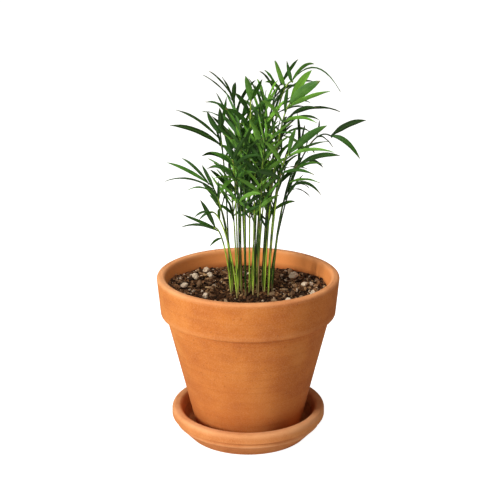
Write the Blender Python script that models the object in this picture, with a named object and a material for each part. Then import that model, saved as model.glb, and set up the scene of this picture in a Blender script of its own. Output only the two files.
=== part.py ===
"""A young parlour palm in a round terracotta pot on its saucer.

The pot stands on the saucer's floor, potting soil fills the pot, and each frond
is one grown piece, stalk and leaflets together, rooted in its own socket in the
soil. Grains of perlite and chips of bark lie on top. The origin is under the
middle of the saucer, +Z is up and +Y is the back. Metres, and millimetres where
a name or a table says so.
"""

import math
import random

import bmesh
import bpy
from mathutils import Matrix, Vector
from mathutils.bvhtree import BVHTree

MM = 0.001
GAP = 0.0003  # between pieces that rest on or in each other
TURN_STEPS = 48  # sides of everything turned on the wheel
UP = Vector((0, 0, 1))
BACK = Vector((0, 1, 0))

# Pot
POT_HEIGHT = 0.1307
RIM_RADIUS = 0.075
BAND_HEIGHT = 0.0325  # the thick band round the top
BAND_TAPER = 0.003  # how much narrower the band is at its lower edge
BAND_LEDGE = 0.004  # step from the band in to the body
FOOT_RADIUS = 0.044
WALL = 0.0065
POT_FLOOR = 0.007
DRAIN_RADIUS = 0.009
LIP_ROUND = 0.0028
FOOT_ROUND = 0.0015
BAND_ROUND = 0.003

# Saucer
SAUCER_HEIGHT = 0.0236
SAUCER_FLOOR = 0.007
SAUCER_ROOM = 0.0065  # between the pot's foot and the saucer's inner corner
SAUCER_FLARE = 0.0136  # the lip's outside beyond that corner
SAUCER_LIP = 0.0074  # thickness of the rolled lip
SAUCER_LIP_DEPTH = 0.0078  # from the lip's crown down to its lower edge
SAUCER_GROOVE = 0.003  # how far the side steps in under the lip
SAUCER_RIDGE_DEPTH = 0.0045  # height of the ridge under the groove

# Soil
SOIL_DROP = 0.014  # from the pot's top down to the soil
SOIL_RINGS = 7
SOIL_STEPS = 36

# Plant
PLANT_HEIGHT = 0.188  # from the soil to the highest leaf tip
STALK_RADIUS = 0.0013
RACHIS_RADIUS = 0.0006
ROOTED = 0.012  # length of stalk in the soil
COLLAR = 0.006  # straight part of the stalk above the soil
JOINT = 0.0022  # length of rachis that carries a pair of leaflets
LEAF_THICKNESS = 0.0007
INNER_LEAF_WIDTH = 0.0047
LEAF_CLEARANCE = 0.00035
LEAF_OUTLINE = ((0.0, 0.3), (0.12, 0.55), (0.3, 0.9), (0.68, 0.8), (1.0, 0.12))
STALK_STEP = 0.024  # between the stalk's rings

# Set fronds, the ones whose leaflets stand out at the sides and the top.
# name, root (x, y), tip of the rachis (x, y, above soil), arch, and the leaflets:
# (along the rachis back from its tip, x, y, above soil of the leaflet's tip,
# width, arch, turn of the blade in degrees). Millimetres.
SET_FRONDS = [
    ("frond_right_arch", (16, 0), (67, 12, 125), 18, [
        (0, 94, 14, 138, 6.0, 2, 15), (0, 89, 6, 111, 5.5, 5, -20),
        (14, 66, -12, 122, 4.5, 3, 60), (14, 58, 34, 134, 4.5, 3, 60),
        (28, 52, -8, 116, 4.5, 3, 50), (28, 50, 30, 126, 4.5, 4, 60),
        (42, 40, 36, 140, 4.5, 3, 40), (42, 44, -14, 140, 4.5, 3, 40)]),
    ("frond_right_upper", (12, 5), (34, 16, 141), 6, [
        (0, 74, 24, 143, 4.5, 6, 30), (0, 55, 12, 148, 4.5, 3, 25),
        (9, 58, 36, 138, 4.5, 4, 30), (9, 30, -14, 150, 4.5, 2, 20),
        (21, 50, 40, 128, 4.5, 4, 30), (21, 10, 12, 138, 4.5, 3, 20)]),
    ("frond_right_broad", (13, -8), (33, -14, 157), 6, [
        (0, 55, -20, 175, 7.5, 1, 0), (0, 49, -6, 181, 6.5, 2, 10),
        (5, 62, -26, 168, 5.5, 2, 25), (10, 30, -34, 172, 4.5, 2, 10),
        (17, 10, -22, 160, 4.5, 4, 20), (17, 52, -38, 146, 4.5, 4, 20)]),
    ("frond_top", (7, 3), (35, 6, 170), 8, [
        (0, 52, 12, 183, 4.5, 5, 15), (0, 72, 18, 163, 4, 15, 55),
        (0, 30, 4, 187, 4.5, -2, 0), (8, 21, -2, 188, 5, 1, 0),
        (14, 13, -8, 172, 4.5, 4, 30), (14, 52, 34, 166, 4.5, 4, 40),
        (24, 50, 26, 150, 4.5, 3, 40)]),
    ("frond_top_left", (5, 9), (27, 20, 166), 8, [
        (0, 21, 30, 183, 4.5, 1, 20), (0, 40, 36, 180, 4.5, 2, 20),
        (6, 13, 26, 176, 4, 3, 50), (10, 9, 14, 177, 4, 3, 55),
        (14, 40, 44, 160, 4.5, 4, 30), (21, 0, 30, 160, 4.5, 3, 30),
        (21, 26, 50, 152, 4.5, 3, 20)]),
    ("frond_left_top", (-7, 8), (-11, 12, 156), 2, [
        (0, -31, 22, 176, 4, 3, 75), (0, -10, 4, 170, 5, 1, 10),
        (4, -35, 8, 175, 4, 2, 80), (8, -21, 30, 170, 4, 2, 60),
        (12, 6, 28, 168, 4.5, 3, 30), (16, -34, 18, 152, 4.5, 4, 50),
        (21, 8, 8, 150, 4.5, 3, 20), (25, -24, 34, 146, 4.5, 3, 40)]),
    ("frond_upright", (1, -6), (2, -6, 158), 0, [
        (0, -2, -8, 177, 6, 0, 0), (0, 11, 2, 172, 5, 1, 20),
        (11, -10, -18, 166, 5, 2, 20), (11, 22, -12, 160, 4.5, 2, 20),
        (23, -18, -12, 152, 5, 3, 15), (23, 18, -26, 148, 5, 3, 20),
        (35, -14, -30, 132, 4.5, 3, 25), (35, 14, 14, 138, 4.5, 3, 25)]),
    ("frond_left_high", (-15, 2), (-22, 0, 131), 2, [
        (0, -32, -4, 148, 5.5, 0, 0), (0, -22, -9, 157, 5.5, 0, 5),
        (0, -17, 8, 158, 4.5, 0, 20), (7, -57, 5, 148, 4, 4, 40),
        (11, -61, -7, 138, 5.5, 4, 35), (17, -33, 16, 145, 4, 4, 60),
        (22, 2, 0, 134, 4.5, 3, 20), (22, -36, -18, 116, 4.5, 4, 20)]),
    ("frond_left_front", (-8, -10), (-12, -24, 115), 6, [
        (0, -18, -32, 136, 5, 1, 10), (0, -2, -32, 136, 5, 1, 10),
        (7, -29, -26, 121, 4.5, 3, 30), (7, 10, -38, 122, 4.5, 3, 20),
        (15, -30, -20, 108, 4.5, 3, 40), (20, 6, -40, 108, 5, 3, 20),
        (27, -20, -40, 98, 5, 3, 10)]),
    ("frond_left_mid", (-12, -3), (-32, -6, 91), 8, [
        (0, -64, -9, 109, 4.5, 3, 10), (0, -53, -2, 110, 4, 4, 15),
        (8, -66, -14, 96, 3.5, 6, 50), (8, -37, 4, 103, 4.5, 1, 20),
        (15, -47, -18, 89, 3.5, 5, 65), (20, -34, 14, 84, 4, 3, 40)]),
    ("frond_left_small", (-12, 9), (-25, 8, 72), 5, [
        (0, -24, 10, 90, 4, 0, 15), (0, -38, 18, 86, 4, 2, 40),
        (7, -14, 2, 86, 3.5, 3, 60), (11, -32, 24, 74, 4, 3, 40)]),
    ("frond_left_low", (-13, -9), (-27, -14, 57), 8, [
        (0, -38, -10, 79, 5, 1, 0), (0, -52, -16, 71, 4, 1, 20),
        (6, -53, -20, 59, 4, 4, 40), (12, -30, -28, 46, 3.5, 1, 20),
        (16, -37, -30, 58, 3, 3, 65)]),
    ("frond_left_arch", (-8, -16), (-31, -24, 72), 10, [
        (0, -42, -26, 69, 3.5, 2, 40), (5, -38, -38, 66, 3.5, 2, 40),
        (13, -22, -40, 80, 4, 2, 30)]),
    ("frond_right_mid", (19, -4), (41, -8, 107), 8, [
        (0, 72, -12, 115, 5.5, 3, 5), (0, 60, -2, 102, 4.5, 4, 20),
        (9, 58, -28, 112, 4.5, 3, 25), (9, 44, 16, 114, 4.5, 2, 40),
        (19, 56, -24, 96, 4.5, 3, 30), (19, 38, 14, 98, 4.5, 3, 40)]),
    ("frond_right_fan", (16, -13), (32, -26, 120), 8, [
        (0, 60, -32, 143, 6.5, 2, 0), (0, 36, -34, 144, 5, 1, 10),
        (5, 65, -40, 124, 4.5, 3, 20), (9, 62, -20, 128, 4.5, 4, 30),
        (13, 12, -38, 134, 5, 2, 20), (20, 50, -46, 108, 4.5, 3, 20),
        (24, 6, -44, 110, 5.5, 3, 10)]),
    ("frond_right_low", (19, 5), (34, 12, 83), 5, [
        (0, 59, 8, 78, 4.5, 8, 20), (0, 50, 24, 80, 3.5, 4, 60),
        (5, 51, 18, 76, 3, 5, 60), (9, 40, 30, 96, 4, 2, 30),
        (13, 44, -4, 96, 4, 2, 30)]),
]

# Inner fronds, whose leaflets follow the rule of the plant.
# name, root, tip of the rachis, arch, (blade, pairs, leaflet, roll in degrees). Millimetres.
INNER_FRONDS = [
    ("frond_inner_back_right", (5, 15), (12, 30, 137), 8, (52, 4, 33, 0)),
    ("frond_inner_tall", (7, -3), (14, 0, 150), 4, (52, 4, 33, 10)),
    ("frond_inner_left_tall", (-6, -1), (-6, -8, 140), 4, (52, 4, 33, 0)),
    ("frond_inner_right_tall", (2, -1), (22, 20, 142), 6, (52, 4, 33, 0)),
    ("frond_inner_front", (-2, -13), (-3, -30, 124), 8, (50, 4, 33, 0)),
    ("frond_inner_front_right", (8, -15), (14, -36, 134), 10, (50, 4, 33, 0)),
    ("frond_inner_front_low", (4, -11), (6, -20, 112), 4, (44, 3, 33, 0)),
    ("frond_inner_right_back", (11, 11), (27, 36, 121), 10, (48, 3, 34, 0)),
    ("frond_inner_left_back", (-2, 12), (-13, 32, 130), 8, (48, 3, 34, 0)),
    ("frond_inner_back", (1, 17), (2, 42, 98), 12, (44, 3, 34, 0)),
    ("frond_inner_right_low", (16, 9), (29, 32, 94), 8, (38, 2, 32, 0)),
    ("frond_inner_left_front", (-5, -6), (-10, -32, 100), 8, (40, 3, 30, 0)),
    ("frond_inner_right_front", (12, -3), (20, -20, 100), 6, (40, 3, 30, 0)),
    ("frond_inner_left_low", (-9, 3), (-17, 26, 92), 8, (38, 2, 32, 0)),
    ("frond_inner_middle", (-2, 3), (-6, 4, 124), 2, (46, 4, 32, 20)),
]

# Loose grains on the soil: x, y, and the half sizes. Millimetres.
PERLITE = [
    (-44, 20, 3.6, 2.8, 2.4), (-36, 40, 2.8, 2.4, 2.2), (-52, -6, 3.2, 2.6, 2.4),
    (-34, -26, 2.6, 2.2, 2.0), (-32, 28, 2.8, 2.4, 2.0), (38, 28, 4.0, 3.0, 2.8),
    (46, 2, 2.8, 2.4, 2.0), (32, -32, 2.6, 2.2, 1.8), (-36, -42, 2.8, 2.4, 2.0),
    (52, -20, 2.6, 2.2, 2.0),
]
BARK = [
    (-40, 4, 5.5, 2.4, 1.3), (36, -16, 5.0, 2.2, 1.2),
    (40, -40, 4.6, 2.0, 1.2), (36, 42, 5.0, 2.2, 1.3),
]

# Heights that follow from the sizes above
POT_FOOT_Z = SAUCER_FLOOR + GAP
POT_TOP_Z = POT_FOOT_Z + POT_HEIGHT
BAND_FOOT_Z = POT_TOP_Z - BAND_HEIGHT
SHOULDER_RADIUS = RIM_RADIUS - BAND_TAPER - BAND_LEDGE
SOIL_Z = POT_TOP_Z - SOIL_DROP

# Height in metres of one millimetre of the tables' heights
TALLEST = max(leaf[3] for frond in SET_FRONDS for leaf in frond[4])
RISE = PLANT_HEIGHT / TALLEST
# A taller plant's fronds arch further from the straight runs that are tested
LEAF_ROOM = LEAF_CLEARANCE * (RISE / MM) ** 3


def clear_scene():
    for obj in list(bpy.data.objects):
        bpy.data.objects.remove(obj, do_unlink=True)


def material(name, colour, roughness):
    made = bpy.data.materials.new(name)
    made.use_nodes = True
    shader = made.node_tree.nodes["Principled BSDF"]
    shader.inputs["Base Color"].default_value = (*colour, 1)
    shader.inputs["Roughness"].default_value = roughness
    shader.inputs["Metallic"].default_value = 0
    return made


def add_object(name, bm, finish):
    mesh = bpy.data.meshes.new(name)
    bm.to_mesh(mesh)
    bm.free()
    mesh.materials.append(finish)
    obj = bpy.data.objects.new(name, mesh)
    bpy.context.scene.collection.objects.link(obj)
    return obj


def rounded_outline(corners, steps=3):
    """Points (radius, height) along corners of (radius, height, fillet radius)."""
    points = []
    for i, (r, z, fillet) in enumerate(corners):
        here = Vector((r, z))
        if not fillet:
            points.append(here)
            continue
        before = Vector(corners[i - 1][:2]) - here
        after = Vector(corners[(i + 1) % len(corners)][:2]) - here
        half = before.angle(after) / 2
        reach = min(fillet / math.tan(half), 0.45 * before.length, 0.45 * after.length)
        start = here + before.normalized() * reach
        end = here + after.normalized() * reach
        for k in range(steps + 1):
            t = k / steps
            points.append(start * (1 - t) ** 2 + here * 2 * t * (1 - t) + end * t * t)
    return points


def turned(name, outline, finish, closed):
    """Turns an outline that runs down its outer side into a round body."""
    bm = bmesh.new()
    verts = [bm.verts.new((p.x, 0, p.y)) for p in outline]
    for a, b in zip(verts, verts[1:]):
        bm.edges.new((a, b))
    if closed:
        bm.edges.new((verts[-1], verts[0]))
    obj = add_object(name, bm, finish)
    screw = obj.modifiers.new("Turn", "SCREW")
    screw.steps = screw.render_steps = TURN_STEPS
    screw.use_merge_vertices = True
    screw.merge_threshold = 0.00001
    screw.use_smooth_shade = True
    return obj


def pot_inner_radius(z):
    """Radius of the pot's inside at height z."""
    lean = (SHOULDER_RADIUS - FOOT_RADIUS) / (BAND_FOOT_Z - POT_FOOT_Z)
    shoulder = SHOULDER_RADIUS - WALL
    if z < BAND_FOOT_Z:
        return shoulder - lean * (BAND_FOOT_Z - z)
    share = (z - BAND_FOOT_Z) / (POT_TOP_Z - BAND_FOOT_Z)
    return shoulder + (RIM_RADIUS - WALL - shoulder) * share


def build_saucer(finish):
    corner = FOOT_RADIUS + SAUCER_ROOM
    outside = corner + SAUCER_FLARE
    groove_z = SAUCER_HEIGHT - SAUCER_LIP_DEPTH
    ridge_z = groove_z - SAUCER_RIDGE_DEPTH
    outline = rounded_outline([
        (0, SAUCER_FLOOR, 0),
        (corner, SAUCER_FLOOR, 0.003),
        (outside - SAUCER_LIP, SAUCER_HEIGHT, 0.0035),
        (outside, SAUCER_HEIGHT, 0.0045),
        (outside, groove_z, 0.0012),
        (outside - SAUCER_GROOVE, groove_z - SAUCER_GROOVE / 2, 0.0008),
        (outside - SAUCER_GROOVE, ridge_z, 0.0012),
        (outside - 2 * SAUCER_GROOVE, ridge_z - SAUCER_GROOVE, 0),
        (corner, 0, 0.0012),
        (0, 0, 0),
    ], steps=2)
    return turned("saucer", outline, finish, closed=False)


def build_pot(finish):
    foot_inner = pot_inner_radius(POT_FOOT_Z + POT_FLOOR)
    outline = rounded_outline([
        (RIM_RADIUS, POT_TOP_Z, LIP_ROUND),
        (RIM_RADIUS - BAND_TAPER, BAND_FOOT_Z, BAND_ROUND),
        (SHOULDER_RADIUS, BAND_FOOT_Z, 0),
        (FOOT_RADIUS, POT_FOOT_Z, FOOT_ROUND),
        (DRAIN_RADIUS, POT_FOOT_Z, 0),
        (DRAIN_RADIUS, POT_FOOT_Z + POT_FLOOR, 0),
        (foot_inner, POT_FOOT_Z + POT_FLOOR, 0),
        (SHOULDER_RADIUS - WALL, BAND_FOOT_Z, 0),
        (RIM_RADIUS - WALL, POT_TOP_Z, LIP_ROUND),
    ])
    return turned("pot", outline, finish, closed=True)


def soil_height(x, y):
    """Height of the soil's top: banked up at the left and right, lower at the back."""
    u, v = x / 0.066, y / 0.066
    bank = 0.0055 * max(0, -u) ** 2 + 0.0035 * max(0, u) ** 2
    dip = 0.0025 * max(0, v) * max(0, u)
    lumps = 0.0011 * math.sin(9 * u + 2.1) * math.cos(8 * v - 0.7) * (u * u + v * v)
    return SOIL_Z + bank - dip + lumps


def build_soil(finish, cutter):
    """Fills the pot to the wall's gap, with a socket for each stalk."""
    bm = bmesh.new()
    bottom_z = POT_FOOT_Z + POT_FLOOR + GAP
    turn = [2 * math.pi * k / SOIL_STEPS for k in range(SOIL_STEPS)]
    share = math.cos(math.pi / TURN_STEPS)  # the pot's flats lie inside its circle

    def wall_radius(z):
        return (pot_inner_radius(z) - GAP * 1.1) * share

    def side_ring(z):
        radius = wall_radius(z)
        return [bm.verts.new((radius * math.cos(a), radius * math.sin(a), z)) for a in turn]

    def top_ring(part):
        made = []
        for a in turn:
            near = wall_radius(SOIL_Z)
            edge = wall_radius(soil_height(near * math.cos(a), near * math.sin(a)))
            x, y = edge * part * math.cos(a), edge * part * math.sin(a)
            made.append(bm.verts.new((x, y, soil_height(x, y))))
        return made

    rings = [side_ring(z) for z in (bottom_z, BAND_FOOT_Z)]
    rings += [top_ring(k / SOIL_RINGS) for k in range(SOIL_RINGS, 0, -1)]
    for low, high in zip(rings, rings[1:]):
        for k in range(SOIL_STEPS):
            n = (k + 1) % SOIL_STEPS
            bm.faces.new((low[k], low[n], high[n], high[k]))
    bm.faces.new(list(reversed(rings[0])))
    middle = bm.verts.new((0, 0, soil_height(0, 0)))
    for k in range(SOIL_STEPS):
        bm.faces.new((rings[-1][k], rings[-1][(k + 1) % SOIL_STEPS], middle))
    bmesh.ops.triangulate(bm, faces=bm.faces[:])
    surface = BVHTree.FromBMesh(bm)
    obj = add_object("soil", bm, finish)
    sockets = obj.modifiers.new("Sockets", "BOOLEAN")
    sockets.operation = "DIFFERENCE"
    sockets.solver = "EXACT"
    sockets.object = cutter
    return surface


def stalk_line(frond, push, steps=40):
    """Points up the middle of a stalk, from the root to the tip of its rachis."""
    (root_x, root_y), (tip_x, tip_y, rise), arch = frond[1:4]
    root = Vector((root_x * MM, root_y * MM, SOIL_Z - ROOTED))
    tip = Vector((tip_x * MM, tip_y * MM + push, SOIL_Z + rise * RISE))
    flat = Vector((tip.x - root.x, tip.y - root.y, 0))
    upright = max(0, 1 - flat.length / 0.03)
    low = root + flat * 0.12 + UP * 0.55 * (tip.z - root.z)
    high = tip - flat * 0.42 + UP * (arch * MM - 0.22 * rise * RISE * upright)
    line = []
    for k in range(steps + 1):
        t = k / steps
        line.append(root * (1 - t) ** 3 + low * 3 * t * (1 - t) ** 2
                    + high * 3 * t * t * (1 - t) + tip * t ** 3)
    return line


def length_of(line):
    return sum((b - a).length for a, b in zip(line, line[1:]))


def walk(line, distance):
    """Point and direction that far along the line."""
    for a, b in zip(line, line[1:]):
        step = (b - a).length
        if distance <= step or b is line[-1]:
            return a + (b - a) * (distance / step), (b - a).normalized()
        distance -= step


def across(line, direction, roll=0):
    """Sideways and upper directions of a stalk, square to its own direction."""
    heading = Vector((line[-1].x - line[0].x, line[-1].y - line[0].y, 0))
    side = heading.cross(UP)
    side = (side - direction * side.dot(direction)).normalized()
    side = Matrix.Rotation(math.radians(roll), 3, direction) @ side
    return side, side.cross(direction)


def stalk_ring(line, distance, grow=0):
    """Four corners of the stalk's section, a little wider than deep."""
    middle, direction = walk(line, distance)
    side, top = across(line, direction)
    share = max(0, distance) / length_of(line)
    radius = STALK_RADIUS + (RACHIS_RADIUS - STALK_RADIUS) * share ** 0.9
    a, b = side * (radius + grow), top * (radius * 0.85 + grow)
    return [middle + a + b, middle - a + b, middle - a - b, middle + a - b]


def leaf_rings(leaf, grow=0):
    """Sections of a leaflet from its base to its tip, four corners each."""
    base, tip, arch, width, broad = leaf
    crown = (base + tip) / 2 + UP * 2 * arch
    rings = []
    for share, part in LEAF_OUTLINE:
        point = base * (1 - share) ** 2 + crown * 2 * share * (1 - share) + tip * share ** 2
        along = ((crown - base) * (1 - share) + (tip - crown) * share).normalized()
        face = along.cross(broad).normalized()
        half = face.cross(along) * (width * part / 2 + grow)
        thick = face * (LEAF_THICKNESS / 2 + grow)
        rings.append([point + half + thick, point + half - thick,
                      point - half - thick, point - half + thick])
    return rings


def tree_of(rings):
    """A closed tube through the rings, for finding what it touches."""
    verts = [corner for ring in rings for corner in ring]
    faces = [(0, 1, 2, 3)]
    for k in range(0, len(verts) - 4, 4):
        for j in range(4):
            n = (j + 1) % 4
            faces.append((k + j, k + n, k + 4 + n, k + 4 + j))
    last = len(verts) - 4
    faces.append((last, last + 1, last + 2, last + 3))
    return BVHTree.FromPolygons(verts, faces)


def stalk_tree(line, grow=0):
    length = length_of(line)
    return tree_of([stalk_ring(line, length * k / 14, grow) for k in range(15)])


def set_leaves(frond, line):
    """For each leaflet of a set frond, the places it may take, the best first."""
    length = length_of(line)
    for below, x, y, height, width, arch, turn in frond[4]:
        root, _ = walk(line, length - max(below * MM, JOINT / 2))
        places = []
        for share in (1, 0.88, 0.76):
            for back in (0, 4, -4, 8, -8, 12, -12, 16, -16):
                for lift in (0, 2, -2, 4, -4):
                    aim = Vector((x * MM, (y + back) * MM, SOIL_Z + height * RISE + lift * MM))
                    reach = (aim - root) * share
                    along = reach.normalized()
                    broad = Matrix.Rotation(math.radians(turn), 3, along) @ along.cross(BACK)
                    places.append((root, root + reach, arch * share * MM, width * MM, broad))
        yield below * MM, places


def inner_leaves(frond, line, chance):
    """The same for an inner frond: pairs from the rachis tip down, then the rule's turns."""
    blade, pairs, leaf, roll = frond[4]
    length = length_of(line)
    for pair in range(pairs, -1, -1):
        below = blade * MM * (1 - pair / pairs)
        root, direction = walk(line, length - max(below, JOINT / 2))
        side, top = across(line, direction, roll)
        spread = 15 if pair == pairs else 50 - 22 * pair / (pairs - 1)
        size = leaf * MM * (0.8 if pair == 0 else 0.95) * RISE / MM
        for sign in (1, -1):
            turn, tilt = chance.uniform(-8, 8), chance.uniform(-8, 8)
            reach, bend = size * chance.uniform(0.9, 1.1), chance.uniform(0.5, 1.5)
            places = []
            for share in (1, 0.85, 0.7):
                for wider in (0, 8, -8, 16, -16):
                    for higher in (0, 14, -14, 28, -28):
                        a = math.radians(max(8, spread + turn + wider))
                        b = math.radians(14 + tilt + higher)
                        out = (side * sign * math.cos(b) + top * math.sin(b)).normalized()
                        along = (direction * math.cos(a) + out * math.sin(a)).normalized()
                        arch = 0.07 * reach * share * bend
                        tip = root + along * reach * share - UP * 2 * arch
                        broad = direction if a > 0.35 else out
                        broad = (broad - along * broad.dot(along)).normalized()
                        places.append((root, tip, arch, INNER_LEAF_WIDTH, broad))
            yield below, places


def grow_plant():
    """Every frond as (name, line, leaflets), each leaflet with its place on the rachis.

    Stalks come first, each in its own way up, and then the leaflets, each turned,
    raised or shortened as far as it must be to hang clear of what is there.
    """
    chance = random.Random(7)
    fronds = SET_FRONDS + INNER_FRONDS
    lines, stalks = [], []
    for frond in fronds:
        for push in (0, 4, -4, 8, -8, 12, -12, 16, -16):
            line = stalk_line(frond, push * MM)
            room = stalk_tree(line, LEAF_ROOM)
            if not any(room.overlap(other) for other in stalks):
                break
        lines.append(line)
        stalks.append(stalk_tree(line))
    grown, taken = [], []
    for own, (frond, line) in enumerate(zip(fronds, lines)):
        others = stalks[:own] + stalks[own + 1:] + taken
        set_row = isinstance(frond[4], list)
        wanted = set_leaves(frond, line) if set_row else inner_leaves(frond, line, chance)
        leaves, beside = [], [stalks[own]]
        for below, places in wanted:
            for leaf in places:
                rings = leaf_rings(leaf, LEAF_ROOM)
                whole, free = tree_of(rings), tree_of(rings[1:])
                if any(whole.overlap(other) for other in others):
                    continue
                if any(free.overlap(other) for other in beside):
                    continue
                leaves.append((below, leaf))
                beside.append(tree_of(leaf_rings(leaf)[1:]))
                taken.append(tree_of(leaf_rings(leaf)))
                break
        grown.append((frond[0], line, leaves))
    return grown


def joints_of(line, leaves):
    """Start and end of each stretch of rachis that carries leaflets, root end first."""
    length = length_of(line)
    ends = sorted({length - max(below, JOINT / 2) for below, _ in leaves})
    return [(middle - JOINT / 2, middle + JOINT / 2) for middle in ends]


def stalk_marks(line, joints):
    """Distances of all the stalk's rings, and the joints among the gaps between them."""
    marks = [0, ROOTED + COLLAR]
    gaps = {}
    for index, (start, end) in enumerate(joints):
        steps = max(1, round((start - marks[-1]) / STALK_STEP))
        first = marks[-1]
        marks += [first + (start - first) * k / steps for k in range(1, steps + 1)]
        gaps[len(marks) - 1] = index
        marks.append(end)
    if marks[-1] < length_of(line) - 0.0005:
        marks.append(length_of(line))
    return marks, gaps


def grow_leaf(bm, face, leaf):
    """Draws a leaflet out of one side face of the rachis, section by section."""
    rings = leaf_rings(leaf)[2:]
    corners = None
    for ring in rings:
        face = bmesh.ops.extrude_discrete_faces(bm, faces=[face])["faces"][0]
        verts = [loop.vert for loop in face.loops]
        if corners is None:
            middle = face.calc_center_median()
            at = sum(ring, Vector()) / 4
            ways = [[(k + s * j) % 4 for j in range(4)] for k in range(4) for s in (1, -1)]
            facing = {True: [], False: []}
            for way in ways:
                a, b, c = (ring[way[k]] for k in range(3))
                outward = (b - a).cross(c - b).dot(at - middle) > 0
                miss = sum(((v.co - middle).normalized() - (ring[w] - at).normalized()).length
                           for v, w in zip(verts, way))
                facing[outward].append((miss, way))
            corners = min(facing[True])[1]
        for vert, corner in zip(verts, corners):
            vert.co = ring[corner]


def build_frond(name, line, leaves, finish):
    joints = joints_of(line, leaves)
    marks, gaps = stalk_marks(line, joints)
    bm = bmesh.new()
    rings = [[bm.verts.new(corner) for corner in stalk_ring(line, mark)] for mark in marks]
    bm.faces.new(rings[0])
    bm.faces.new(list(reversed(rings[-1])))
    sides = {}
    for k, (low, high) in enumerate(zip(rings, rings[1:])):
        for j in range(4):
            n = (j + 1) % 4
            face = bm.faces.new((low[n], low[j], high[j], high[n]))
            if k in gaps:
                sides.setdefault(gaps[k], []).append(face)
    bm.normal_update()
    length = length_of(line)
    for below, leaf in leaves:
        middle = length - max(below, JOINT / 2)
        index = min(range(len(joints)), key=lambda k: abs(sum(joints[k]) / 2 - middle))
        along = (leaf[1] - leaf[0]).normalized()
        face = max(sides[index], key=lambda side: side.normal.dot(along))
        sides[index].remove(face)
        grow_leaf(bm, face, leaf)
    bmesh.ops.recalc_face_normals(bm, faces=bm.faces[:])
    return add_object(name, bm, finish)


def build_sockets(plant, finish):
    """The cutter for the soil: each stalk's foot with the gap round it."""
    bm = bmesh.new()
    for _, line, _ in plant:
        _, direction = walk(line, 0)
        foot = [c - direction * GAP for c in stalk_ring(line, 0, GAP)]
        rings = [foot, stalk_ring(line, ROOTED + COLLAR, GAP)]
        low, high = [[bm.verts.new(corner) for corner in ring] for ring in rings]
        bm.faces.new(low)
        bm.faces.new(list(reversed(high)))
        for j in range(4):
            n = (j + 1) % 4
            bm.faces.new((low[n], low[j], high[j], high[n]))
    bmesh.ops.recalc_face_normals(bm, faces=bm.faces[:])
    obj = add_object("sockets_cutter", bm, finish)
    obj.hide_render = True
    obj.display_type = "WIRE"
    return obj


def build_grain(name, place, surface, chance, finish, rough):
    """A loose grain or chip, let down until it all but touches the soil."""
    x, y, *half = [value * MM for value in place]
    bm = bmesh.new()
    bmesh.ops.create_icosphere(bm, subdivisions=1, radius=1)
    turn = Matrix.Rotation(chance.uniform(0, math.tau), 3, "Z")
    for vert in bm.verts:
        bump = 1 + chance.uniform(-rough, rough)
        vert.co = turn @ Vector([c * h * bump for c, h in zip(vert.co, half)])
        vert.co += Vector((x, y, SOIL_Z + 0.03))
    drops = []
    for vert in bm.verts:
        hit = surface.ray_cast(vert.co, -UP)
        if hit[0] is not None:
            drops.append(hit[3])
    for vert in bm.verts:
        vert.co.z -= min(drops) - GAP
    return add_object(name, bm, finish)


clear_scene()
terracotta = material("terracotta", (0.62, 0.21, 0.07), 0.85)
earth = material("potting soil", (0.045, 0.024, 0.014), 0.95)
frond_green = material("frond green", (0.05, 0.15, 0.03), 0.45)
perlite_white = material("perlite", (0.75, 0.70, 0.60), 0.9)
bark_brown = material("bark", (0.14, 0.06, 0.03), 0.9)

build_saucer(terracotta)
build_pot(terracotta)
plant = grow_plant()
for frond_name, stalk, frond_leaves in plant:
    build_frond(frond_name, stalk, frond_leaves, frond_green)
soil_surface = build_soil(earth, build_sockets(plant, earth))
grain_chance = random.Random(3)
for number, grain in enumerate(PERLITE, 1):
    build_grain(f"perlite_{number:02d}", grain, soil_surface, grain_chance, perlite_white, 0.12)
for number, chip in enumerate(BARK, 1):
    build_grain(f"bark_chip_{number:02d}", chip, soil_surface, grain_chance, bark_brown, 0.08)
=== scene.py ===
"""A young parlour palm in a round terracotta pot on its saucer, in a pale studio.

The saucer comes first, then the pot that stands in it, the soil that fills the
pot, the fronds that grow out of it, and the crumbs, perlite and bark that lie
loose on it. Everything is in metres, +Z is up, +Y is the back, and the origin is
under the middle of the saucer.
"""

import math
import random

import bpy
from mathutils import Matrix, Vector, noise
from mathutils.bvhtree import BVHTree


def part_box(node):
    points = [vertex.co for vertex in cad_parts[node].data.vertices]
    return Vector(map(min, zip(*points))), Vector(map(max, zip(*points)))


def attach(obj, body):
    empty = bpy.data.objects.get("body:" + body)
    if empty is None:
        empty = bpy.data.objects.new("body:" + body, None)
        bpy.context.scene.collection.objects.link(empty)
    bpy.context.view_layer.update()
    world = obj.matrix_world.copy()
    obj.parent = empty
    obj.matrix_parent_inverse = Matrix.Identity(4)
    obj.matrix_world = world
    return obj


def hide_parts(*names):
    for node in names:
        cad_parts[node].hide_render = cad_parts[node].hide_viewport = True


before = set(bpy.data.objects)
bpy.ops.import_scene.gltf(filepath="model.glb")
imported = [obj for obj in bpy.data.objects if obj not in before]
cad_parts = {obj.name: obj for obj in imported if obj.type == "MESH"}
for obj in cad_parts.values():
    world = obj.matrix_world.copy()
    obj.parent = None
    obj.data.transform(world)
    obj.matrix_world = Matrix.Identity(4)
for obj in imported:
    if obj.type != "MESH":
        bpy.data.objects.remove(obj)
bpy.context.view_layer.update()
bpy.ops.object.select_all(action="DESELECT")

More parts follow.
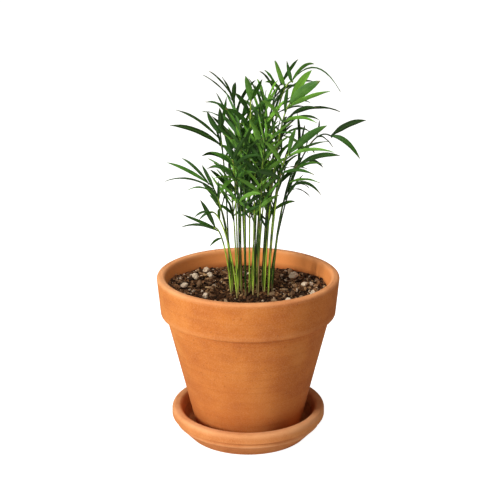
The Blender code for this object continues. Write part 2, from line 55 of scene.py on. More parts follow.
# ---------------------------------------------------------------------------
# Saucer. Terracotta, thrown on the wheel with a rolled lip, a groove under it
# and a ridge below that, then fired unglazed. It carries the pot on its floor.
# ---------------------------------------------------------------------------
saucer_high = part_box("saucer")[1]
pot_low, pot_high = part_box("pot")
GAP = 0.0003  # between pieces that rest on or in each other
FOOT_RADIUS = 0.044  # of the pot
SAUCER_FLOOR = pot_low.z - GAP
SAUCER_HEIGHT = saucer_high.z
SAUCER_RADIUS = saucer_high.x
SAUCER_ROOM = 0.0065  # between the pot's foot and the saucer's wall
SAUCER_LIP = 0.0074
SAUCER_LIP_DEPTH = 0.0078
SAUCER_GROOVE = 0.003
SAUCER_RIDGE_DEPTH = 0.0045
TURNS = 144  # sides of everything turned on the wheel
THROWN_STEP = 0.0013  # between points along a thrown outline
THROWN_LINES = 0.00009  # how far the fingers' lines stand in and out
THROWN_PATTERN = (120, 620)  # how fast the lines change along the radius and upwards
HUB_RADIUS = 0.012  # inside this the fingers leave no lines
MERGE = 0.00001  # points closer than this are one
CRISP_CLAY = math.radians(50)  # an edge sharper than this stays crisp

CLAY_DARK = (0.43, 0.108, 0.020, 1)
CLAY = (0.55, 0.160, 0.029, 1)
CLAY_PALE = (0.65, 0.225, 0.050, 1)
CLAY_BLOOM = (0.76, 0.37, 0.175, 1)
CLAY_INSIDE = (0.82, 0.290, 0.085, 1)
CLAY_DAMP = (0.40, 0.105, 0.028, 1)
CLAY_SPECK = (0.30, 0.075, 0.022, 1)


def rounded_outline(corners, steps=8):
    """Points (radius, height) along corners of (radius, height, fillet radius)."""
    points = []
    for i, (r, z, fillet) in enumerate(corners):
        here = Vector((r, z))
        if not fillet:
            points.append(here)
            continue
        before = Vector(corners[i - 1][:2]) - here
        after = Vector(corners[(i + 1) % len(corners)][:2]) - here
        half = before.angle(after) / 2
        reach = min(fillet / math.tan(half), 0.45 * before.length, 0.45 * after.length)
        start = here + before.normalized() * reach
        end = here + after.normalized() * reach
        for k in range(steps + 1):
            t = k / steps
            points.append(start * (1 - t) ** 2 + here * 2 * t * (1 - t) + end * t * t)
    return points


def thrown_outline(corners, seed):
    """The outline in short steps, with the faint lines that fingers leave in wet clay."""
    points = rounded_outline(corners)
    fine = []
    for a, b in zip(points, points[1:] + points[:1]):
        parts = max(1, round((b - a).length / THROWN_STEP))
        fine += [a + (b - a) * k / parts for k in range(parts)]
    for point in fine:
        if point.x > HUB_RADIUS:
            aside, up = THROWN_PATTERN
            line = noise.noise(Vector((seed, point.x * aside, point.y * up)))
            point.x += THROWN_LINES * line
    return fine


def work_on(piece, mode="OBJECT"):
    """Makes the piece the only one selected and the active one."""
    bpy.ops.object.select_all(action="DESELECT")
    piece.select_set(True)
    bpy.context.view_layer.objects.active = piece
    if mode == "EDIT":
        bpy.ops.object.mode_set(mode="EDIT")
        bpy.ops.mesh.select_all(action="SELECT")


def new_piece(name, add, **sizes):
    """Adds a primitive under its own name, with nothing else selected."""
    bpy.ops.object.select_all(action="DESELECT")
    add(**sizes)
    piece = bpy.context.object
    piece.name = piece.data.name = name
    return piece


def spun(name, outline, turns):
    """Lays a ring of points along the outline, (radius, height), and spins it about the axis."""
    piece = new_piece(name, bpy.ops.mesh.primitive_circle_add, vertices=len(outline))
    for vertex, (radius, height) in zip(piece.data.vertices, outline):
        vertex.co = (radius, 0, height)
    work_on(piece, "EDIT")
    bpy.ops.mesh.spin(steps=turns, angle=2 * math.pi, center=(0, 0, 0), axis=(0, 0, 1))
    bpy.ops.mesh.select_all(action="SELECT")
    bpy.ops.mesh.remove_doubles(threshold=MERGE)
    bpy.ops.mesh.delete_loose(use_verts=True, use_edges=True, use_faces=False)
    bpy.ops.mesh.select_all(action="SELECT")
    bpy.ops.mesh.normals_make_consistent(inside=False)
    bpy.ops.object.mode_set(mode="OBJECT")
    return piece


def thrown(name, corners, seed):
    """A piece of clay thrown on the wheel."""
    piece = spun(name, thrown_outline(corners, seed), TURNS)
    bpy.ops.object.shade_smooth_by_angle(angle=CRISP_CLAY)
    return piece


def write_marks(piece, **marks):
    """Gives each point of the mesh values that its finish reads."""
    for name, values in marks.items():
        layer = piece.data.attributes.new(name, "FLOAT", "POINT")
        layer.data.foreach_set("value", values)


def mark_places(piece, **rules):
    """The same, each value worked out from the point's place."""
    for name, rule in rules.items():
        write_marks(piece, **{name: [rule(vertex.co) for vertex in piece.data.vertices]})


def add_node(tree, kind, inputs=None, **settings):
    """A shader node with its settings, and each input a value or another node's output."""
    made = tree.nodes.new(kind)
    for key, value in settings.items():
        setattr(made, key, value)
    for socket, value in (inputs or {}).items():
        if isinstance(value, bpy.types.NodeSocket):
            tree.links.new(value, made.inputs[socket])
        else:
            made.inputs[socket].default_value = value
    return made


def ramp(tree, factor, stops):
    """Colour or grey level that follows a factor through the stops (place, colour)."""
    made = add_node(tree, "ShaderNodeValToRGB", {"Fac": factor})
    elements = made.color_ramp.elements
    while len(elements) < len(stops):
        elements.new(0.5)
    for element, (place, colour) in zip(elements, stops):
        element.position = place
        element.color = colour if len(colour) == 4 else (*colour, 1)
    return made.outputs["Color"]


def blend(tree, factor, first, second):
    """Colour between two others."""
    made = add_node(tree, "ShaderNodeMix", data_type="RGBA")
    for socket, value in (("Factor", factor), ("A", first), ("B", second)):
        slots = [s for s in made.inputs if s.name == socket and s.enabled]
        if isinstance(value, bpy.types.NodeSocket):
            tree.links.new(value, slots[0])
        else:
            slots[0].default_value = value
    return [s for s in made.outputs if s.enabled][0]


def sums(tree, kind, *values):
    """Result of a Math node."""
    return add_node(tree, "ShaderNodeMath", dict(enumerate(values)), operation=kind).outputs[0]


def fade(tree, factor, low, high, dark=0.0, light=1.0):
    """Grey level that rises from dark to light as a factor goes from low to high."""
    return ramp(tree, factor, [(low, (dark, dark, dark)), (high, (light, light, light))])


def read_mark(tree, name):
    """A value that the piece's points carry."""
    return add_node(tree, "ShaderNodeAttribute", attribute_name=name).outputs["Fac"]


def noise_of(tree, place, scale, detail=4.0, rough=0.55):
    """Cloudy pattern from 0 to 1."""
    inputs = {"Vector": place, "Scale": scale, "Detail": detail, "Roughness": rough}
    return add_node(tree, "ShaderNodeTexNoise", inputs).outputs["Fac"]


def stretched(tree, place, scale):
    """The place, scaled by its own amount along each axis."""
    return add_node(tree, "ShaderNodeMapping", {"Vector": place, "Scale": scale}).outputs[0]


def new_finish(name):
    """A finish, its nodes, and the place on the piece that its patterns follow."""
    finish = bpy.data.materials.new(name)
    finish.use_nodes = True
    tree = finish.node_tree
    return finish, tree, add_node(tree, "ShaderNodeTexCoord").outputs["Object"]


def set_surface(tree, colour, rough, specular, relief, strength, depth):
    """Gives the finish's shader its colour, gloss and relief, and returns the shader."""
    shader = tree.nodes["Principled BSDF"]
    inputs = {"Height": relief, "Strength": strength, "Distance": depth}
    bump = add_node(tree, "ShaderNodeBump", inputs)
    tree.links.new(colour, shader.inputs["Base Color"])
    tree.links.new(rough, shader.inputs["Roughness"])
    tree.links.new(bump.outputs[0], shader.inputs["Normal"])
    shader.inputs["Specular IOR Level"].default_value = specular
    return shader


def fired_clay(name):
    """Unglazed terracotta: mottled, with throwing lines, dark specks and chalky patches, and
    with painted highlights, painted light and painted shade where the piece's marks call for
    them.
    """
    finish, tree, place = new_finish(name)
    lines = noise_of(tree, stretched(tree, place, (9, 9, 520)), 1.0, detail=3.0)
    bands = noise_of(tree, stretched(tree, place, (14, 14, 130)), 1.0, detail=2.0)
    mottle = noise_of(tree, place, 26.0, detail=6.0, rough=0.6)
    grain = noise_of(tree, place, 1100.0, detail=2.0)
    specks = noise_of(tree, place, 430.0, detail=1.0)

    colour = ramp(tree, mottle, [(0.32, CLAY_DARK), (0.50, CLAY), (0.68, CLAY_PALE)])
    colour = blend(tree, fade(tree, bands, 0.45, 0.75, 0, 0.35), colour, CLAY_PALE)
    colour = blend(tree, fade(tree, lines, 0.50, 0.72, 0, 0.32), colour, CLAY_DARK)
    colour = blend(tree, fade(tree, grain, 0.40, 0.70, 0, 0.25), colour, CLAY_BLOOM)
    colour = blend(tree, fade(tree, specks, 0.70, 0.76, 0, 0.5), colour, CLAY_SPECK)
    # painted light: the inside wall is made a brighter orange
    colour = blend(tree, read_mark(tree, "fresh"), colour, CLAY_INSIDE)
    # bloom, and painted highlight where the marks lighten the lips, the saucer's ridge and the
    # band's lower edge
    patchy = fade(tree, mottle, 0.30, 0.62, 0.35, 1.0)
    bloom = sums(tree, "MULTIPLY", read_mark(tree, "rub"), patchy)
    colour = blend(tree, bloom, colour, CLAY_BLOOM)
    # painted shade in the saucer's groove, on the saucer's floor round the pot and on the inside
    # wall just above the soil; real damp low on the pot's outside
    uneven = fade(tree, mottle, 0.25, 0.60, 0.75, 1.0)
    soak = sums(tree, "MULTIPLY", read_mark(tree, "damp"), uneven)
    colour = blend(tree, soak, colour, CLAY_DAMP)

    relief = sums(tree, "MULTIPLY", grain, 0.5)
    relief = sums(tree, "ADD", sums(tree, "MULTIPLY", lines, 0.7), relief)
    relief = sums(tree, "SUBTRACT", relief, fade(tree, specks, 0.69, 0.77))
    rough = fade(tree, grain, 0.3, 0.7, 0.80, 0.96)
    set_surface(tree, colour, rough, specular=0.15, relief=relief, strength=0.35, depth=0.00028)
    return finish


def near(value, place, width):
    """1 at the place, falling to 0 a width away from it."""
    return max(0.0, 1 - abs(value - place) / width)


saucer_corner = FOOT_RADIUS + SAUCER_ROOM
groove_z = SAUCER_HEIGHT - SAUCER_LIP_DEPTH
ridge_z = groove_z - SAUCER_RIDGE_DEPTH
ridge_radius = SAUCER_RADIUS - SAUCER_GROOVE
saucer = thrown("clay_saucer", [
    (0, SAUCER_FLOOR, 0),
    (saucer_corner, SAUCER_FLOOR, 0.003),
    (SAUCER_RADIUS - SAUCER_LIP, SAUCER_HEIGHT, 0.0034),
    (SAUCER_RADIUS, SAUCER_HEIGHT, 0.0045),
    (SAUCER_RADIUS, groove_z, 0.0013),
    (ridge_radius, groove_z - SAUCER_GROOVE / 2, 0.0009),
    (ridge_radius, ridge_z, 0.0013),
    (SAUCER_RADIUS - 2 * SAUCER_GROOVE, ridge_z - SAUCER_GROOVE, 0.0008),
    (saucer_corner, 0, 0.0012),
    (0, 0, 0),
], seed=3)


def saucer_rub(co):
    """Bloom all over the saucer, and painted highlight on the crown of the lip and on the ridge.
    """
    radius = math.hypot(co.x, co.y)
    crown = near(co.z, SAUCER_HEIGHT, 0.0045) * (radius > saucer_corner)
    ridge = near(co.z, ridge_z, 0.0020) * near(radius, ridge_radius, 0.0012)
    return 0.30 + 0.70 * crown + 0.60 * ridge


def saucer_damp(co):
    """Painted shade in a ring round the pot's foot, and in the groove under the lip."""
    radius = math.hypot(co.x, co.y)
    groove = near(co.z, groove_z - 0.0010, 0.0012) * (radius > saucer_corner)
    tide = (co.z > SAUCER_FLOOR - GAP) * near(radius, FOOT_RADIUS, 0.012)
    return max(0.45 * tide, 0.9 * groove)


clay = fired_clay("terracotta")
mark_places(saucer, rub=saucer_rub, damp=saucer_damp)
saucer.data.materials.append(clay)
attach(saucer, "root")
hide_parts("saucer")

# ---------------------------------------------------------------------------
# Pot. Terracotta, thrown in one piece with a thick band round the top and a
# drain hole in its floor. It stands on the saucer and holds the soil.
# ---------------------------------------------------------------------------
POT_TOP_Z = pot_high.z
POT_FOOT_Z = pot_low.z
RIM_RADIUS = pot_high.x
BAND_HEIGHT = 0.0325
BAND_FOOT_Z = POT_TOP_Z - BAND_HEIGHT
BAND_TAPER = 0.003
BAND_STEP = 0.004  # how far the band stands out from the body
SHOULDER_RADIUS = RIM_RADIUS - BAND_TAPER - BAND_STEP
WALL = 0.0065
POT_FLOOR = 0.007
DRAIN_RADIUS = 0.009
LIP_ROUND = 0.003
BAND_ROUND = 0.0034
SOIL_Z = POT_TOP_Z - 0.014  # middle of the soil's top
FRESH = 0.7  # how strongly the inside wall is painted lighter, as painted light
DAMP_WALL = 0.004  # how far above the soil the inside wall is painted with shade
FOOT_DAMP = 0.5  # how dark the foot is, which draws water from the saucer
FOOT_DAMP_HEIGHT = 0.075


def pot_inner_radius(z):
    """Radius of the pot's inside at height z."""
    lean = (SHOULDER_RADIUS - FOOT_RADIUS) / (BAND_FOOT_Z - POT_FOOT_Z)
    shoulder = SHOULDER_RADIUS - WALL
    if z < BAND_FOOT_Z:
        return shoulder - lean * (BAND_FOOT_Z - z)
    share = (z - BAND_FOOT_Z) / (POT_TOP_Z - BAND_FOOT_Z)
    return shoulder + (RIM_RADIUS - WALL - shoulder) * share


foot_inner = pot_inner_radius(POT_FOOT_Z + POT_FLOOR)
pot = thrown("clay_pot", [
    (RIM_RADIUS, POT_TOP_Z, LIP_ROUND),
    (RIM_RADIUS - BAND_TAPER, BAND_FOOT_Z, BAND_ROUND),
    (SHOULDER_RADIUS, BAND_FOOT_Z + 0.0004, 0.0011),
    (FOOT_RADIUS, POT_FOOT_Z, 0.0016),
    (DRAIN_RADIUS, POT_FOOT_Z, 0.0006),
    (DRAIN_RADIUS, POT_FOOT_Z + POT_FLOOR, 0.0006),
    (foot_inner, POT_FOOT_Z + POT_FLOOR, 0),
    (SHOULDER_RADIUS - WALL, BAND_FOOT_Z, 0),
    (RIM_RADIUS - WALL, POT_TOP_Z, LIP_ROUND),
], seed=8)


def pot_rub(co):
    """Bloom in a ring above the foot, and painted highlight on the lip and on the band's lower
    edge.
    """
    radius = math.hypot(co.x, co.y)
    lip = near(co.z, POT_TOP_Z, 0.004)
    edge = near(co.z, BAND_FOOT_Z + 0.003, 0.003) * (radius > SHOULDER_RADIUS + 0.002)
    foot = near(co.z, POT_FOOT_Z + 0.004, 0.008) * (radius > FOOT_RADIUS - 0.001)
    return 0.75 * lip + 0.18 * edge + 0.2 * foot


def pot_fresh(co):
    """The wall inside, which gets painted light: a brighter orange than the outside."""
    return FRESH * (math.hypot(co.x, co.y) < pot_inner_radius(co.z) + 0.002)


def between(value, low, high):
    """0 up to low, 1 from high on, and the share of the way between them."""
    return min(1.0, max(0.0, (value - low) / (high - low)))


def pot_damp(co):
    """Darker wall: inside, painted shade just above the soil; outside, where the foot draws
    water from the saucer.
    """
    # inside: painted shade, darkest where the wall meets the soil
    if pot_fresh(co):
        return 1 - between(co.z, SOIL_Z, SOIL_Z + DAMP_WALL)
    return FOOT_DAMP * (1 - between(co.z, POT_FOOT_Z, POT_FOOT_Z + FOOT_DAMP_HEIGHT))


mark_places(pot, rub=pot_rub, fresh=pot_fresh, damp=pot_damp)
pot.data.materials.append(clay)
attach(pot, "root")
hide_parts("pot")

# ---------------------------------------------------------------------------
# Soil. Dark peat and composted bark, pressed into the pot by hand and banked up
# at the sides. It fills the pot to the wall and is crumbly all over its top.
# ---------------------------------------------------------------------------
SOIL_RINGS = 56
SOIL_TURNS = 160
SOIL_FLOOR = POT_FOOT_Z + POT_FLOOR + GAP
SOIL_REACH = 0.066  # from the middle to the wall
LEFT_BANK = 0.0055
RIGHT_BANK = 0.0035
BACK_DIP = 0.0025
SOIL_LUMPS = 0.0011
COARSE_CRUMBS = 0.0017  # how far they raise and lower the top
FINE_CRUMBS = 0.0009
CRISP_SOIL = math.radians(60)

SOIL_BLACK = (0.013, 0.005, 0.002, 1)
SOIL_DARK = (0.078, 0.031, 0.012, 1)
SOIL_BROWN = (0.215, 0.096, 0.040, 1)
SOIL_TAN = (0.45, 0.270, 0.135, 1)


def soil_height(x, y):
    """Height of the soil's top: banked up at the left and right, lower at the back."""
    u, v = x / SOIL_REACH, y / SOIL_REACH
    bank = LEFT_BANK * max(0, -u) ** 2 + RIGHT_BANK * max(0, u) ** 2
    dip = BACK_DIP * max(0, v) * max(0, u)
    lumps = SOIL_LUMPS * math.sin(9 * u + 2.1) * math.cos(8 * v - 0.7) * (u * u + v * v)
    return SOIL_Z + bank - dip + lumps


def crumbly_height(x, y):
    """The same with the crumbs pressed into it."""
    coarse = noise.noise(Vector((x * 260, y * 260, 1.7)))
    fine = noise.noise(Vector((x * 900, y * 900, 4.1)))
    return soil_height(x, y) + COARSE_CRUMBS * coarse + FINE_CRUMBS * fine - FINE_CRUMBS


def potting_soil(name):
    """Moist dark crumbs, brown and tan on the fibres; the near black laid in the hollows of the
    relief is painted shade.
    """
    finish, tree, place = new_finish(name)
    coarse = noise_of(tree, place, 170.0, detail=5.0, rough=0.65)
    fine = noise_of(tree, place, 1300.0, detail=3.0)
    # painted shade: the noise that shapes the relief also puts near black in its hollows
    colour = ramp(tree, coarse, [(0.36, SOIL_BLACK), (0.52, SOIL_DARK), (0.70, SOIL_BROWN)])
    colour = blend(tree, fade(tree, fine, 0.45, 0.75, 0, 0.7), colour, SOIL_BLACK)
    relief = sums(tree, "ADD", coarse, sums(tree, "MULTIPLY", fine, 0.4))
    rough = fade(tree, coarse, 0.3, 0.7, 0.72, 0.95)
    set_surface(tree, colour, rough, specular=0.15, relief=relief, strength=0.8, depth=0.0006)
    return finish


edge_radius = pot_inner_radius(SOIL_Z)
outline = [(edge_radius * k / SOIL_RINGS, SOIL_Z) for k in range(SOIL_RINGS + 1)]
outline.append((pot_inner_radius(BAND_FOOT_Z), BAND_FOOT_Z))
outline += [(foot_inner, SOIL_FLOOR), (0, SOIL_FLOOR)]
soil = spun("potting_soil", outline, SOIL_TURNS)
for vertex in soil.data.vertices:
    radius = math.hypot(vertex.co.x, vertex.co.y)
    if vertex.co.z > SOIL_Z - 0.001:
        height = crumbly_height(vertex.co.x, vertex.co.y)
        share = radius / edge_radius
        reach = (pot_inner_radius(height) - GAP) / edge_radius
        swell = 1 + (reach - 1) * share ** 8
        vertex.co = (vertex.co.x * swell, vertex.co.y * swell, height)
    elif radius > 0:
        vertex.co.x *= 1 - GAP / radius
        vertex.co.y *= 1 - GAP / radius
work_on(soil)
bpy.ops.object.shade_smooth_by_angle(angle=CRISP_SOIL)
soil.data.materials.append(potting_soil("soil"))
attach(soil, "root")
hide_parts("soil")

# ---------------------------------------------------------------------------
# Fronds. Each is one living piece grown from the root: a smooth green stalk that
# thins into a rachis, and narrow leaflets in pairs along it, pleated and glossy.
# The set fronds make the plant's outline, and the inner ones fill its middle.
# ---------------------------------------------------------------------------
MM = 0.001
UP = Vector((0, 0, 1))
BACK = Vector((0, 1, 0))

PLANT_HEIGHT = 0.188  # from the soil to the highest leaf tip
STALK_RADIUS = 0.0013
RACHIS_RADIUS = 0.0006
THINNING = 0.9  # a stalk thins by this power of the way up
LOW_LEAN, LOW_RISE = 0.12, 0.55  # the point that pulls a stalk up, as shares of its way
HIGH_LEAN, HIGH_SAG = 0.42, 0.22  # the point that pulls it over
LEANING = 0.03  # a stalk whose tip lies this far aside is no longer upright
ROOTED = 0.012  # length of stalk in the soil
JOINT = 0.0022  # length of rachis that carries a pair of leaflets
INNER_LEAF_WIDTH = 0.0047
FILL_WIDTH = 0.0036  # of the leaflets between the inner fronds' pairs
FILL_TRIES = 14
FILL_STRETCH = 1.25  # how far down the rachis they grow, to the length with pairs

# What a leaflet is taken to fill while its place is found: thickness, room left
# round it, and its outline as (share of the length, share of the width).
LEAF_THICKNESS = 0.0007
LEAF_CLEARANCE = 0.00035
LEAF_OUTLINE = ((0.0, 0.3), (0.12, 0.55), (0.3, 0.9), (0.68, 0.8), (1.0, 0.12))

# The leaflet that is seen: the same two shares, and how it folds, sways and waves.
BLADE_THICKNESS = 0.00034
BLADE_SHAPE = (
    (0.0, 0.20), (0.06, 0.36), (0.16, 0.70), (0.30, 0.94), (0.45, 1.0),
    (0.62, 0.93), (0.78, 0.70), (0.90, 0.38), (0.97, 0.14), (1.0, 0.03),
)
BLADE_ROWS = 10
BLADE_STRIPS = 2  # one on each side of the midrib
BLADE_FOLD = 0.30  # how far each half of a blade is folded up along its midrib
BLADE_SWAY = 0.035  # sideways, as a share of its length
BLADE_RIPPLE = 0.00022
OUTER_TWIST = 0.3  # radians over a blade's length
INNER_TWIST = 0.6

# What is seen of a stalk: a thick papery foot, and knots where old leaves were.
SHEATH_HEIGHT = 0.017
SHEATH_SWELL = 0.22  # as a share of its radius
KNOTS = 5
KNOT_SWELL = 0.10
KNOT_WIDTH = 0.0012
SCAR_WIDTH = 0.0014
CRISP_LEAF = math.radians(50)
CRISP_STALK = math.radians(60)

LEAF_DEEP = (0.005, 0.018, 0.003, 1)
LEAF_GREEN = (0.031, 0.120, 0.011, 1)
LEAF_BRIGHT = (0.205, 0.455, 0.050, 1)
LEAF_GLOW = (0.200, 0.440, 0.040, 1)
LEAF_SILVER = (0.085, 0.165, 0.060, 1)
LEAF_MIDRIB = (0.110, 0.240, 0.040, 1)
LEAF_DRY = (0.330, 0.235, 0.095, 1)
LEAF_SHEER = 0.24  # share of the light that goes through a leaflet
STALK_GREEN = (0.011, 0.042, 0.004, 1)
STALK_LIGHT = (0.380, 0.540, 0.055, 1)
STALK_TAN = (0.300, 0.200, 0.090, 1)
STALK_BROWN = (0.110, 0.060, 0.030, 1)

# Set fronds, the ones whose leaflets stand out at the sides and the top.
# name, root (x, y), tip of the rachis (x, y, above soil), arch, and the leaflets:
# (along the rachis back from its tip, x, y, above soil of the leaflet's tip,
# width, arch, turn of the blade in degrees). Millimetres.
SET_FRONDS = [
    ("frond_right_arch", (16, 0), (67, 12, 125), 18, [
        (0, 94, 14, 138, 6.0, 2, 15), (0, 89, 6, 111, 5.5, 5, -20),
        (14, 66, -12, 122, 4.5, 3, 60), (14, 58, 34, 134, 4.5, 3, 60),
        (28, 52, -8, 116, 4.5, 3, 50), (28, 50, 30, 126, 4.5, 4, 60),
        (42, 40, 36, 140, 4.5, 3, 40), (42, 44, -14, 140, 4.5, 3, 40)]),
    ("frond_right_upper", (12, 5), (34, 16, 141), 6, [
        (0, 74, 24, 143, 4.5, 6, 30), (0, 55, 12, 148, 4.5, 3, 25),
        (9, 58, 36, 138, 4.5, 4, 30), (9, 30, -14, 150, 4.5, 2, 20),
        (21, 50, 40, 128, 4.5, 4, 30), (21, 10, 12, 138, 4.5, 3, 20)]),
    ("frond_right_broad", (13, -8), (33, -14, 157), 6, [
        (0, 55, -20, 175, 7.5, 1, 0), (0, 49, -6, 181, 6.5, 2, 10),
        (5, 62, -26, 168, 5.5, 2, 25), (10, 30, -34, 172, 4.5, 2, 10),
        (17, 10, -22, 160, 4.5, 4, 20), (17, 52, -38, 146, 4.5, 4, 20)]),
    ("frond_top", (7, 3), (35, 6, 170), 8, [
        (0, 52, 12, 183, 4.5, 5, 15), (0, 72, 18, 163, 4, 15, 55),
        (0, 30, 4, 187, 4.5, -2, 0), (8, 21, -2, 188, 5, 1, 0),
        (14, 13, -8, 172, 4.5, 4, 30), (14, 52, 34, 166, 4.5, 4, 40),
        (24, 50, 26, 150, 4.5, 3, 40)]),
    ("frond_top_left", (5, 9), (27, 20, 166), 8, [
        (0, 21, 30, 183, 4.5, 1, 20), (0, 40, 36, 180, 4.5, 2, 20),
        (6, 13, 26, 176, 4, 3, 50), (10, 9, 14, 177, 4, 3, 55),
        (14, 40, 44, 160, 4.5, 4, 30), (21, 0, 30, 160, 4.5, 3, 30),
        (21, 26, 50, 152, 4.5, 3, 20)]),
    ("frond_left_top", (-7, 8), (-11, 12, 156), 2, [
        (0, -31, 22, 176, 4, 3, 75), (0, -10, 4, 170, 5, 1, 10),
        (4, -35, 8, 175, 4, 2, 80), (8, -21, 30, 170, 4, 2, 60),
        (12, 6, 28, 168, 4.5, 3, 30), (16, -34, 18, 152, 4.5, 4, 50),
        (21, 8, 8, 150, 4.5, 3, 20), (25, -24, 34, 146, 4.5, 3, 40)]),
    ("frond_upright", (1, -6), (2, -6, 158), 0, [
        (0, -2, -8, 177, 6, 0, 0), (0, 11, 2, 172, 5, 1, 20),
        (11, -10, -18, 166, 5, 2, 20), (11, 22, -12, 160, 4.5, 2, 20),
        (23, -18, -12, 152, 5, 3, 15), (23, 18, -26, 148, 5, 3, 20),
        (35, -14, -30, 132, 4.5, 3, 25), (35, 14, 14, 138, 4.5, 3, 25)]),
    ("frond_left_high", (-15, 2), (-22, 0, 131), 2, [
        (0, -32, -4, 148, 5.5, 0, 0), (0, -22, -9, 157, 5.5, 0, 5),
        (0, -17, 8, 158, 4.5, 0, 20), (7, -57, 5, 148, 4, 4, 40),
        (11, -61, -7, 138, 5.5, 4, 35), (17, -33, 16, 145, 4, 4, 60),
        (22, 2, 0, 134, 4.5, 3, 20), (22, -36, -18, 116, 4.5, 4, 20)]),
    ("frond_left_front", (-8, -10), (-12, -24, 115), 6, [
        (0, -18, -32, 136, 5, 1, 10), (0, -2, -32, 136, 5, 1, 10),
        (7, -29, -26, 121, 4.5, 3, 30), (7, 10, -38, 122, 4.5, 3, 20),
        (15, -30, -20, 108, 4.5, 3, 40), (20, 6, -40, 108, 5, 3, 20),
        (27, -20, -40, 98, 5, 3, 10)]),
    ("frond_left_mid", (-12, -3), (-32, -6, 91), 8, [
        (0, -64, -9, 109, 4.5, 3, 10), (0, -53, -2, 110, 4, 4, 15),
        (8, -66, -14, 96, 3.5, 6, 50), (8, -37, 4, 103, 4.5, 1, 20),
        (15, -47, -18, 89, 3.5, 5, 65), (20, -34, 14, 84, 4, 3, 40)]),
    ("frond_left_small", (-12, 9), (-25, 8, 72), 5, [
        (0, -24, 10, 90, 4, 0, 15), (0, -38, 18, 86, 4, 2, 40),
        (7, -14, 2, 86, 3.5, 3, 60), (11, -32, 24, 74, 4, 3, 40)]),
    ("frond_left_low", (-13, -9), (-27, -14, 57), 8, [
        (0, -38, -10, 79, 5, 1, 0), (0, -52, -16, 71, 4, 1, 20),
        (6, -53, -20, 59, 4, 4, 40), (12, -30, -28, 46, 3.5, 1, 20),
        (16, -37, -30, 58, 3, 3, 65)]),
    ("frond_left_arch", (-8, -16), (-31, -24, 72), 10, [
        (0, -42, -26, 69, 3.5, 2, 40), (5, -38, -38, 66, 3.5, 2, 40),
        (13, -22, -40, 80, 4, 2, 30)]),
    ("frond_right_mid", (19, -4), (41, -8, 107), 8, [
        (0, 72, -12, 115, 5.5, 3, 5), (0, 60, -2, 102, 4.5, 4, 20),
        (9, 58, -28, 112, 4.5, 3, 25), (9, 44, 16, 114, 4.5, 2, 40),
        (19, 56, -24, 96, 4.5, 3, 30), (19, 38, 14, 98, 4.5, 3, 40)]),
    ("frond_right_fan", (16, -13), (32, -26, 120), 8, [
        (0, 60, -32, 143, 6.5, 2, 0), (0, 36, -34, 144, 5, 1, 10),
        (5, 65, -40, 124, 4.5, 3, 20), (9, 62, -20, 128, 4.5, 4, 30),
        (13, 12, -38, 134, 5, 2, 20), (20, 50, -46, 108, 4.5, 3, 20),
        (24, 6, -44, 110, 5.5, 3, 10)]),
    ("frond_right_low", (19, 5), (34, 12, 83), 5, [
        (0, 59, 8, 78, 4.5, 8, 20), (0, 50, 24, 80, 3.5, 4, 60),
        (5, 51, 18, 76, 3, 5, 60), (9, 40, 30, 96, 4, 2, 30),
        (13, 44, -4, 96, 4, 2, 30)]),
]

# Inner fronds, whose leaflets follow the rule of the plant.
# name, root, tip of the rachis, arch, (blade, pairs, leaflet, roll in degrees). Millimetres.
INNER_FRONDS = [
    ("frond_inner_back_right", (5, 15), (12, 30, 137), 8, (52, 4, 33, 0)),
    ("frond_inner_tall", (7, -3), (14, 0, 150), 4, (52, 4, 33, 10)),
    ("frond_inner_left_tall", (-6, -1), (-6, -8, 140), 4, (52, 4, 33, 0)),
    ("frond_inner_right_tall", (2, -1), (22, 20, 142), 6, (52, 4, 33, 0)),
    ("frond_inner_front", (-2, -13), (-3, -30, 124), 8, (50, 4, 33, 0)),
    ("frond_inner_front_right", (8, -15), (14, -36, 134), 10, (50, 4, 33, 0)),
    ("frond_inner_front_low", (4, -11), (6, -20, 112), 4, (44, 3, 33, 0)),
    ("frond_inner_right_back", (11, 11), (27, 36, 121), 10, (48, 3, 34, 0)),
    ("frond_inner_left_back", (-2, 12), (-13, 32, 130), 8, (48, 3, 34, 0)),
    ("frond_inner_back", (1, 17), (2, 42, 98), 12, (44, 3, 34, 0)),
    ("frond_inner_right_low", (16, 9), (29, 32, 94), 8, (38, 2, 32, 0)),
    ("frond_inner_left_front", (-5, -6), (-10, -32, 100), 8, (40, 3, 30, 0)),
    ("frond_inner_right_front", (12, -3), (20, -20, 100), 6, (40, 3, 30, 0)),
    ("frond_inner_left_low", (-9, 3), (-17, 26, 92), 8, (38, 2, 32, 0)),
    ("frond_inner_middle", (-2, 3), (-6, 4, 124), 2, (46, 4, 32, 20)),
]

# Tones of green: -1 is deep and 1 is bright. The first are whole fronds', partly painted light
# and shade, darker at the back and brighter at the front and top; each leaflet adds one of the
# others to its frond's.
TONES = {
    "frond_right_broad": 0.95, "frond_right_fan": 0.7, "frond_top": 0.3,
    "frond_left_high": -0.3, "frond_left_top": -0.6, "frond_right_arch": -0.5,
    "frond_left_low": -0.2, "frond_inner_back": -0.6, "frond_inner_back_right": -0.4,
    "frond_inner_left_back": -0.5, "frond_inner_right_back": -0.45,
    "frond_upright": 0.3, "frond_inner_front_right": 0.35, "frond_left_front": 0.15,
}
OUTER_TONES = (-0.8, -0.6, -0.4, -0.2, 0.0, 0.2)
MIDDLE_TONES = (-0.9, -0.6, -0.2, 0.2, 0.7, 1.2)
TAN_STALKS = ("frond_inner_front_right", "frond_inner_left_tall")
TAN_SHARE = 0.85  # how much of the height below they have turned tan
TAN_HEIGHT = 0.032

# Height in metres of one millimetre of the tables' heights
TALLEST = max(leaf[3] for frond in SET_FRONDS for leaf in frond[4])
RISE = PLANT_HEIGHT / TALLEST

